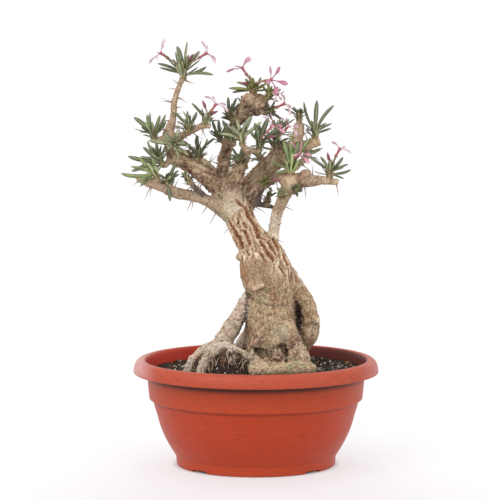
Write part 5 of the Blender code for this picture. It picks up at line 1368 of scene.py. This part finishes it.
def skinShares(name, share, spots, plan):  # how much of each kind of bark a limb has at each spot
    first, last = plan["skins"].get(name, ("young", "young") if name.startswith("under") else ("root", "root"))
    turn = smoothStep(0.4, 0.6, share) if name == "shoulder" else smoothStep(0.15, 0.5, share)
    if name == "stem":  # the ropes reach further down on the right
        turn = smoothStep(234, 256, spots[:, 2] + 0.5 * spots[:, 0] + 9 * softNoise(spots / 12, 77))
    if name == "right":
        first = "rope"
        turn = smoothStep(238, 214, spots[:, 2])
    return [(first, 1 - turn), (last, turn)] if first != last else [(first, np.ones(len(spots)))]


def dressBark(wood, paths, plan):
    count = len(wood.data.vertices)
    flat, ways = np.zeros(count * 3), np.zeros(count * 3)
    wood.data.vertices.foreach_get("co", flat)
    wood.data.vertex_normals.foreach_get("vector", ways)
    spots, ways = flat.reshape(-1, 3) / mm, ways.reshape(-1, 3)
    found = []
    # one run of bark from the soil to the fork
    stem = curvedRun([*plan["limbs"]["base"][:-1], *plan["limbs"]["trunk"][1:]], 4)
    paths = {"stem": stem, **{name: path for name, path in paths.items() if name not in ("base", "trunk")}}
    for number, (name, path) in enumerate(paths.items()):
        rows = np.array(path)
        reach = rows[:, 3].max() + 9
        inside = np.all((spots > rows[:, :3].min(0) - reach) & (spots < rows[:, :3].max(0) + reach), axis=1)
        picked = np.nonzero(inside)[0]
        if len(picked):
            found.append((number, name, picked, *onePath(path, spots[picked])))
    best = np.full(count, 99.0)
    for number, name, picked, gap, along, a, b, share in found:
        best[picked] = np.minimum(best[picked], gap)
    height, colour, total = np.zeros(count), np.zeros((count, 3)), np.full(count, 1e-6)
    facing = smoothStep(0.15, -0.3, ways[:, 1])
    calm = facing * smoothStep(238, 250, spots[:, 2]) * smoothStep(330, 318, spots[:, 2])
    for number, name, picked, gap, along, a, b, share in found:
        weight = np.exp(-(gap - best[picked]) / 0.9)
        if name != "stem" and not name.startswith("under"):  # the stem's bark runs on over the roots of its branches
            weight *= 0.04 + 0.96 * smoothStep(0.0, 0.2, share)
        keep = weight > 0.02
        picked, along, a, b, share, weight = (rows[keep] for rows in (picked, along, a, b, share, weight))
        for kind, part in skinShares(name, share, spots[picked], plan):
            used = part > 0.01
            if not used.any():
                continue
            chosen = picked[used]
            rise, paint = barkSkin(kind, along[used], a[used], b[used], spots[chosen], 11, calm[chosen])
            strength = (weight * part)[used]
            height[chosen] += rise * strength
            colour[chosen] += paint * strength[:, None]
            total[chosen] += strength
    height /= total
    colour /= total[:, None]
    wander = softNoise(spots / 3, 83) + 0.7 * softNoise(spots / 1.4, 84)
    for rows in plan["furrows"]:
        away = np.full(count, 9.0)
        for x, z, half in curvedRun(rows, 5):
            away = np.minimum(away, np.hypot(spots[:, 0] - x, spots[:, 2] - z) / (0.25 + 1.1 * half))
        away += 0.75 * wander
        sunk = smoothStep(1.5, 0.4, away) * facing
        height = height + (0.7 * smoothStep(3.4, 2.0, away) * facing - 2.5 * sunk) * min(1, 0.5 + rows[1][-1] / 3)
        colour = coats(
            colour, ((232, 212, 182), 0.6 * smoothStep(2.8, 1.8, away) * facing),
            ((156, 102, 62), 0.95 * smoothStep(1.9, 0.9, away) * facing),
            ((88, 52, 34), 0.9 * smoothStep(0.9, 0.2, away) * facing))
    for paintedShade, rows in plan["clefts"]:
        line = np.array(curvedRun(rows, 3))
        dark = np.zeros(count)
        for x, y, z, reach, depth in line:
            away = np.linalg.norm((spots - (x, y, z)) * (1, 0.4, 1), axis=1) + 0.45 * reach * wander
            height = np.minimum(height, 3 - (depth + 3) * smoothStep(1.1 * reach, 0.2 * reach, away))
            dark = np.maximum(dark, smoothStep(1.3 * reach, 0.5 * reach, away))
        # painted shade in the clefts
        colour = shade(colour, (46, 28, 24), 0.95 * paintedShade * dark)
    for place, reach, paint, strength in plan["patches"]:
        away = np.linalg.norm(spots - place, axis=1) + 0.25 * reach * softNoise(spots / 3, 21)
        colour = shade(colour, paint, strength * smoothStep(reach, 0.45 * reach, away))
    near, after, draw = cellField(spots / 3.2, 51)  # the pitted disc on the crown
    disc = smoothStep(9.5, 7.5, np.linalg.norm((spots - (-1.7, 2, 430)) * (1, 0.6, 1), axis=1))
    knob = smoothStep(0.5, 0.2, near)
    height = height + disc * (1.2 * knob - 0.6)
    colour = shade(colour, (206, 182, 166), 0.85 * disc * knob)
    soiled = smoothStep(124, 114, spots[:, 2] + 2.5 * softNoise(spots / 4, 61))
    colour = shade(colour, (88, 68, 52), 0.75 * soiled)
    moved = (spots + ways * height[:, None]) * mm
    wood.data.vertices.foreach_set("co", moved.ravel())
    wood.data.update()
    pointColours(wood, "barkColour", colour)


def makeWood(plan):
    paths = limbPaths(plan)
    points, faces = [], []
    for path in (*paths.values(), *ropePaths(plan["limbs"]["trunk"], plan["ropes"])):
        tubeInto(points, faces, path, 20)
    for x, y, z, radius in (*plan["knobs"], *plan["lumps"]):
        ball = [(x, y, z - radius * math.cos(math.pi * k / 8), max(0.1, radius * math.sin(math.pi * k / 8)))
                for k in range(9)]
        tubeInto(points, faces, ball, 16)
    limbRows = [row for name in plan["limbs"] for row in paths[name]]
    for name, (seat, axis, tone, leaves) in leafPlan["shoots"].items():  # the short twig under each shoot
        seat, axis = Vector(seat), Vector(axis).normalized()
        foot = min(limbRows, key=lambda row: (Vector(row[:3]) - seat).length - row[3])
        twig = [(*foot[:3], min(foot[3], 4)), (*(seat - axis * 4), 3.3), (*(seat + axis * 1.2), 3.1)]
        paths["under" + name] = curvedRun(twig, 3)
        tubeInto(points, faces, paths["under" + name], 14)
    wood = meshFrom(points, faces, "trunkAndBranches")
    skin = wood.modifiers.new("oneSkin", "REMESH")
    skin.mode = "VOXEL"
    skin.voxel_size = plan["voxel"] * mm
    relax = wood.modifiers.new("relax", "SMOOTH")
    relax.factor = 0.5
    relax.iterations = 3
    baked(wood)
    cut = bmesh.new()
    cut.from_mesh(wood.data)
    low = (0, 0, plan["cutBelow"] * mm)
    made = bmesh.ops.bisect_plane(cut, geom=[*cut.verts, *cut.edges, *cut.faces], plane_co=low,
                                  plane_no=(0, 0, 1), clear_inner=True)
    rim = [edge for edge in made["geom_cut"] if isinstance(edge, bmesh.types.BMEdge)]
    bmesh.ops.holes_fill(cut, edges=rim)
    cut.to_mesh(wood.data)
    cut.free()
    print("wood skin:", len(wood.data.polygons), "faces")
    dressBark(wood, paths, plan)
    wood.data.shade_smooth()
    settle(wood, "wood", "wood")
    wood.data.materials.append(barkFinish())
    makeSpines(paths, plan)
    makeThreads(plan)


def barkFinish():
    material, tree, shader = newFinish("bark", tint(160, 132, 98), 0.86)
    grain = noiseOf(tree, placeOf(tree), 0.62, 5, 0.75)
    specks = noiseOf(tree, placeOf(tree), 0.42, 3, 0.6, 0.4)
    shades = rampOf(tree, grain, [(0.34, 0.42), (0.45, 0.82), (0.56, 1.08), (0.66, 1.42)])
    base = mixOf(tree, 1.0, paintOf(tree, "barkColour"), shades, "MULTIPLY")
    pale = rampOf(tree, specks, [(0.6, 0.0), (0.68, 0.5)])
    base = mixOf(tree, partsOf(tree, pale)[0], base, tint(224, 208, 186))
    tree.links.new(base, shader.inputs["Base Color"])
    tree.links.new(rampOf(tree, specks, [(0.3, 0.78), (0.7, 0.92)]), shader.inputs["Roughness"])
    shader.inputs["Specular IOR Level"].default_value = 0.3
    bumpOf(tree, shader, sumOf(tree, grain, specks), 0.9, 0.8)
    return material


def makeSpines(paths, plan):
    draw = random.Random(5)
    spine = plan["spines"]
    points, faces = [], []
    for name, share in plan["spiny"].items():
        path = paths[name]
        travelled, turn = 2, draw.uniform(0, 6)
        for row, after in zip(path, path[1:]):
            start, end = Vector(row[:3]), Vector(after[:3])
            travelled += (end - start).length
            if travelled < spine["spacing"]:
                continue
            travelled -= spine["spacing"]
            turn += goldenAngle
            along = (end - start).normalized()
            for spread in (-0.4, 0.4):
                side = turned(along.orthogonal().normalized(), turn + spread, along)
                whole = draw.random() < share
                length = spine["length"] * draw.uniform(0.75, 1.25) if whole else draw.uniform(1.2, 3.5)
                way = (side + along * draw.uniform(-0.1, 0.35)).normalized()
                bend = Vector((0, 0, -1)) * draw.uniform(0, 0.08) + along * draw.uniform(-0.08, 0.08)
                root = start + side * (row[3] - 0.8)
                rows = [(root, spine["radius"] * 1.5), (root + way * 1.6, spine["radius"]),
                        (root + way * 0.55 * length + bend * 0.3 * length, spine["radius"] * 0.55),
                        (root + way * length + bend * length, 0.07)]
                tubeInto(points, faces, [(*spot, radius) for spot, radius in rows], 6)
    spines = meshFrom(points, faces, "spines")
    spines.data.shade_smooth()
    settle(spines, "wood")
    stops = [(0.35, tint(92, 72, 58)), (0.5, tint(138, 116, 94)), (0.65, tint(176, 156, 132))]
    spines.data.materials.append(speckledFinish("spineHorn", tint(122, 100, 82), 0.55, 0.4, stops, 0.15))
    print("spines:", len(faces), "faces")


def makeThreads(plan):  # fine roots that hang from the surface roots into the soil
    draw = random.Random(8)
    points, faces = [], []
    starts = [curvedRun(plan["roots"][name], 6) for name in plan["threadRoots"]]
    for number in range(plan["threads"]):
        path = starts[number % len(starts)]
        row = path[draw.randrange(len(path) // 2 if number % 5 == 4 else 0, len(path))]
        angle = draw.uniform(0, math.tau)
        way = Vector((math.cos(angle), math.sin(angle) - 0.4, -0.9)).normalized()
        spot = Vector(row[:3]) + way * row[3] * 0.8
        thick = draw.choice([0.3, 0.38, 0.5, 0.7])
        rows = []
        for step in range(12):
            rows.append((*spot, thick * (1 - 0.06 * step)))
            stray = Vector((draw.uniform(-0.35, 0.35), draw.uniform(-0.35, 0.35), draw.uniform(-0.45, 0.1)))
            way = (way + stray).normalized()
            if spot.z < 119:
                way.z = max(way.z, -0.25)
            spot = spot + way * draw.uniform(2, 3.6)
            if spot.z < 114:
                break
        if len(rows) > 2:
            tubeInto(points, faces, curvedRun(rows, 2), 5)
    threads = meshFrom(points, faces, "rootThreads")
    threads.data.shade_smooth()
    settle(threads, "wood")
    stops = [(0.36, tint(130, 90, 64)), (0.5, tint(196, 164, 132)), (0.62, tint(230, 212, 188))]
    threads.data.materials.append(speckledFinish("rootThread", tint(200, 172, 134), 0.8, 0.16, stops, 0.1))


makeWood(woodPlan)
print("wood")
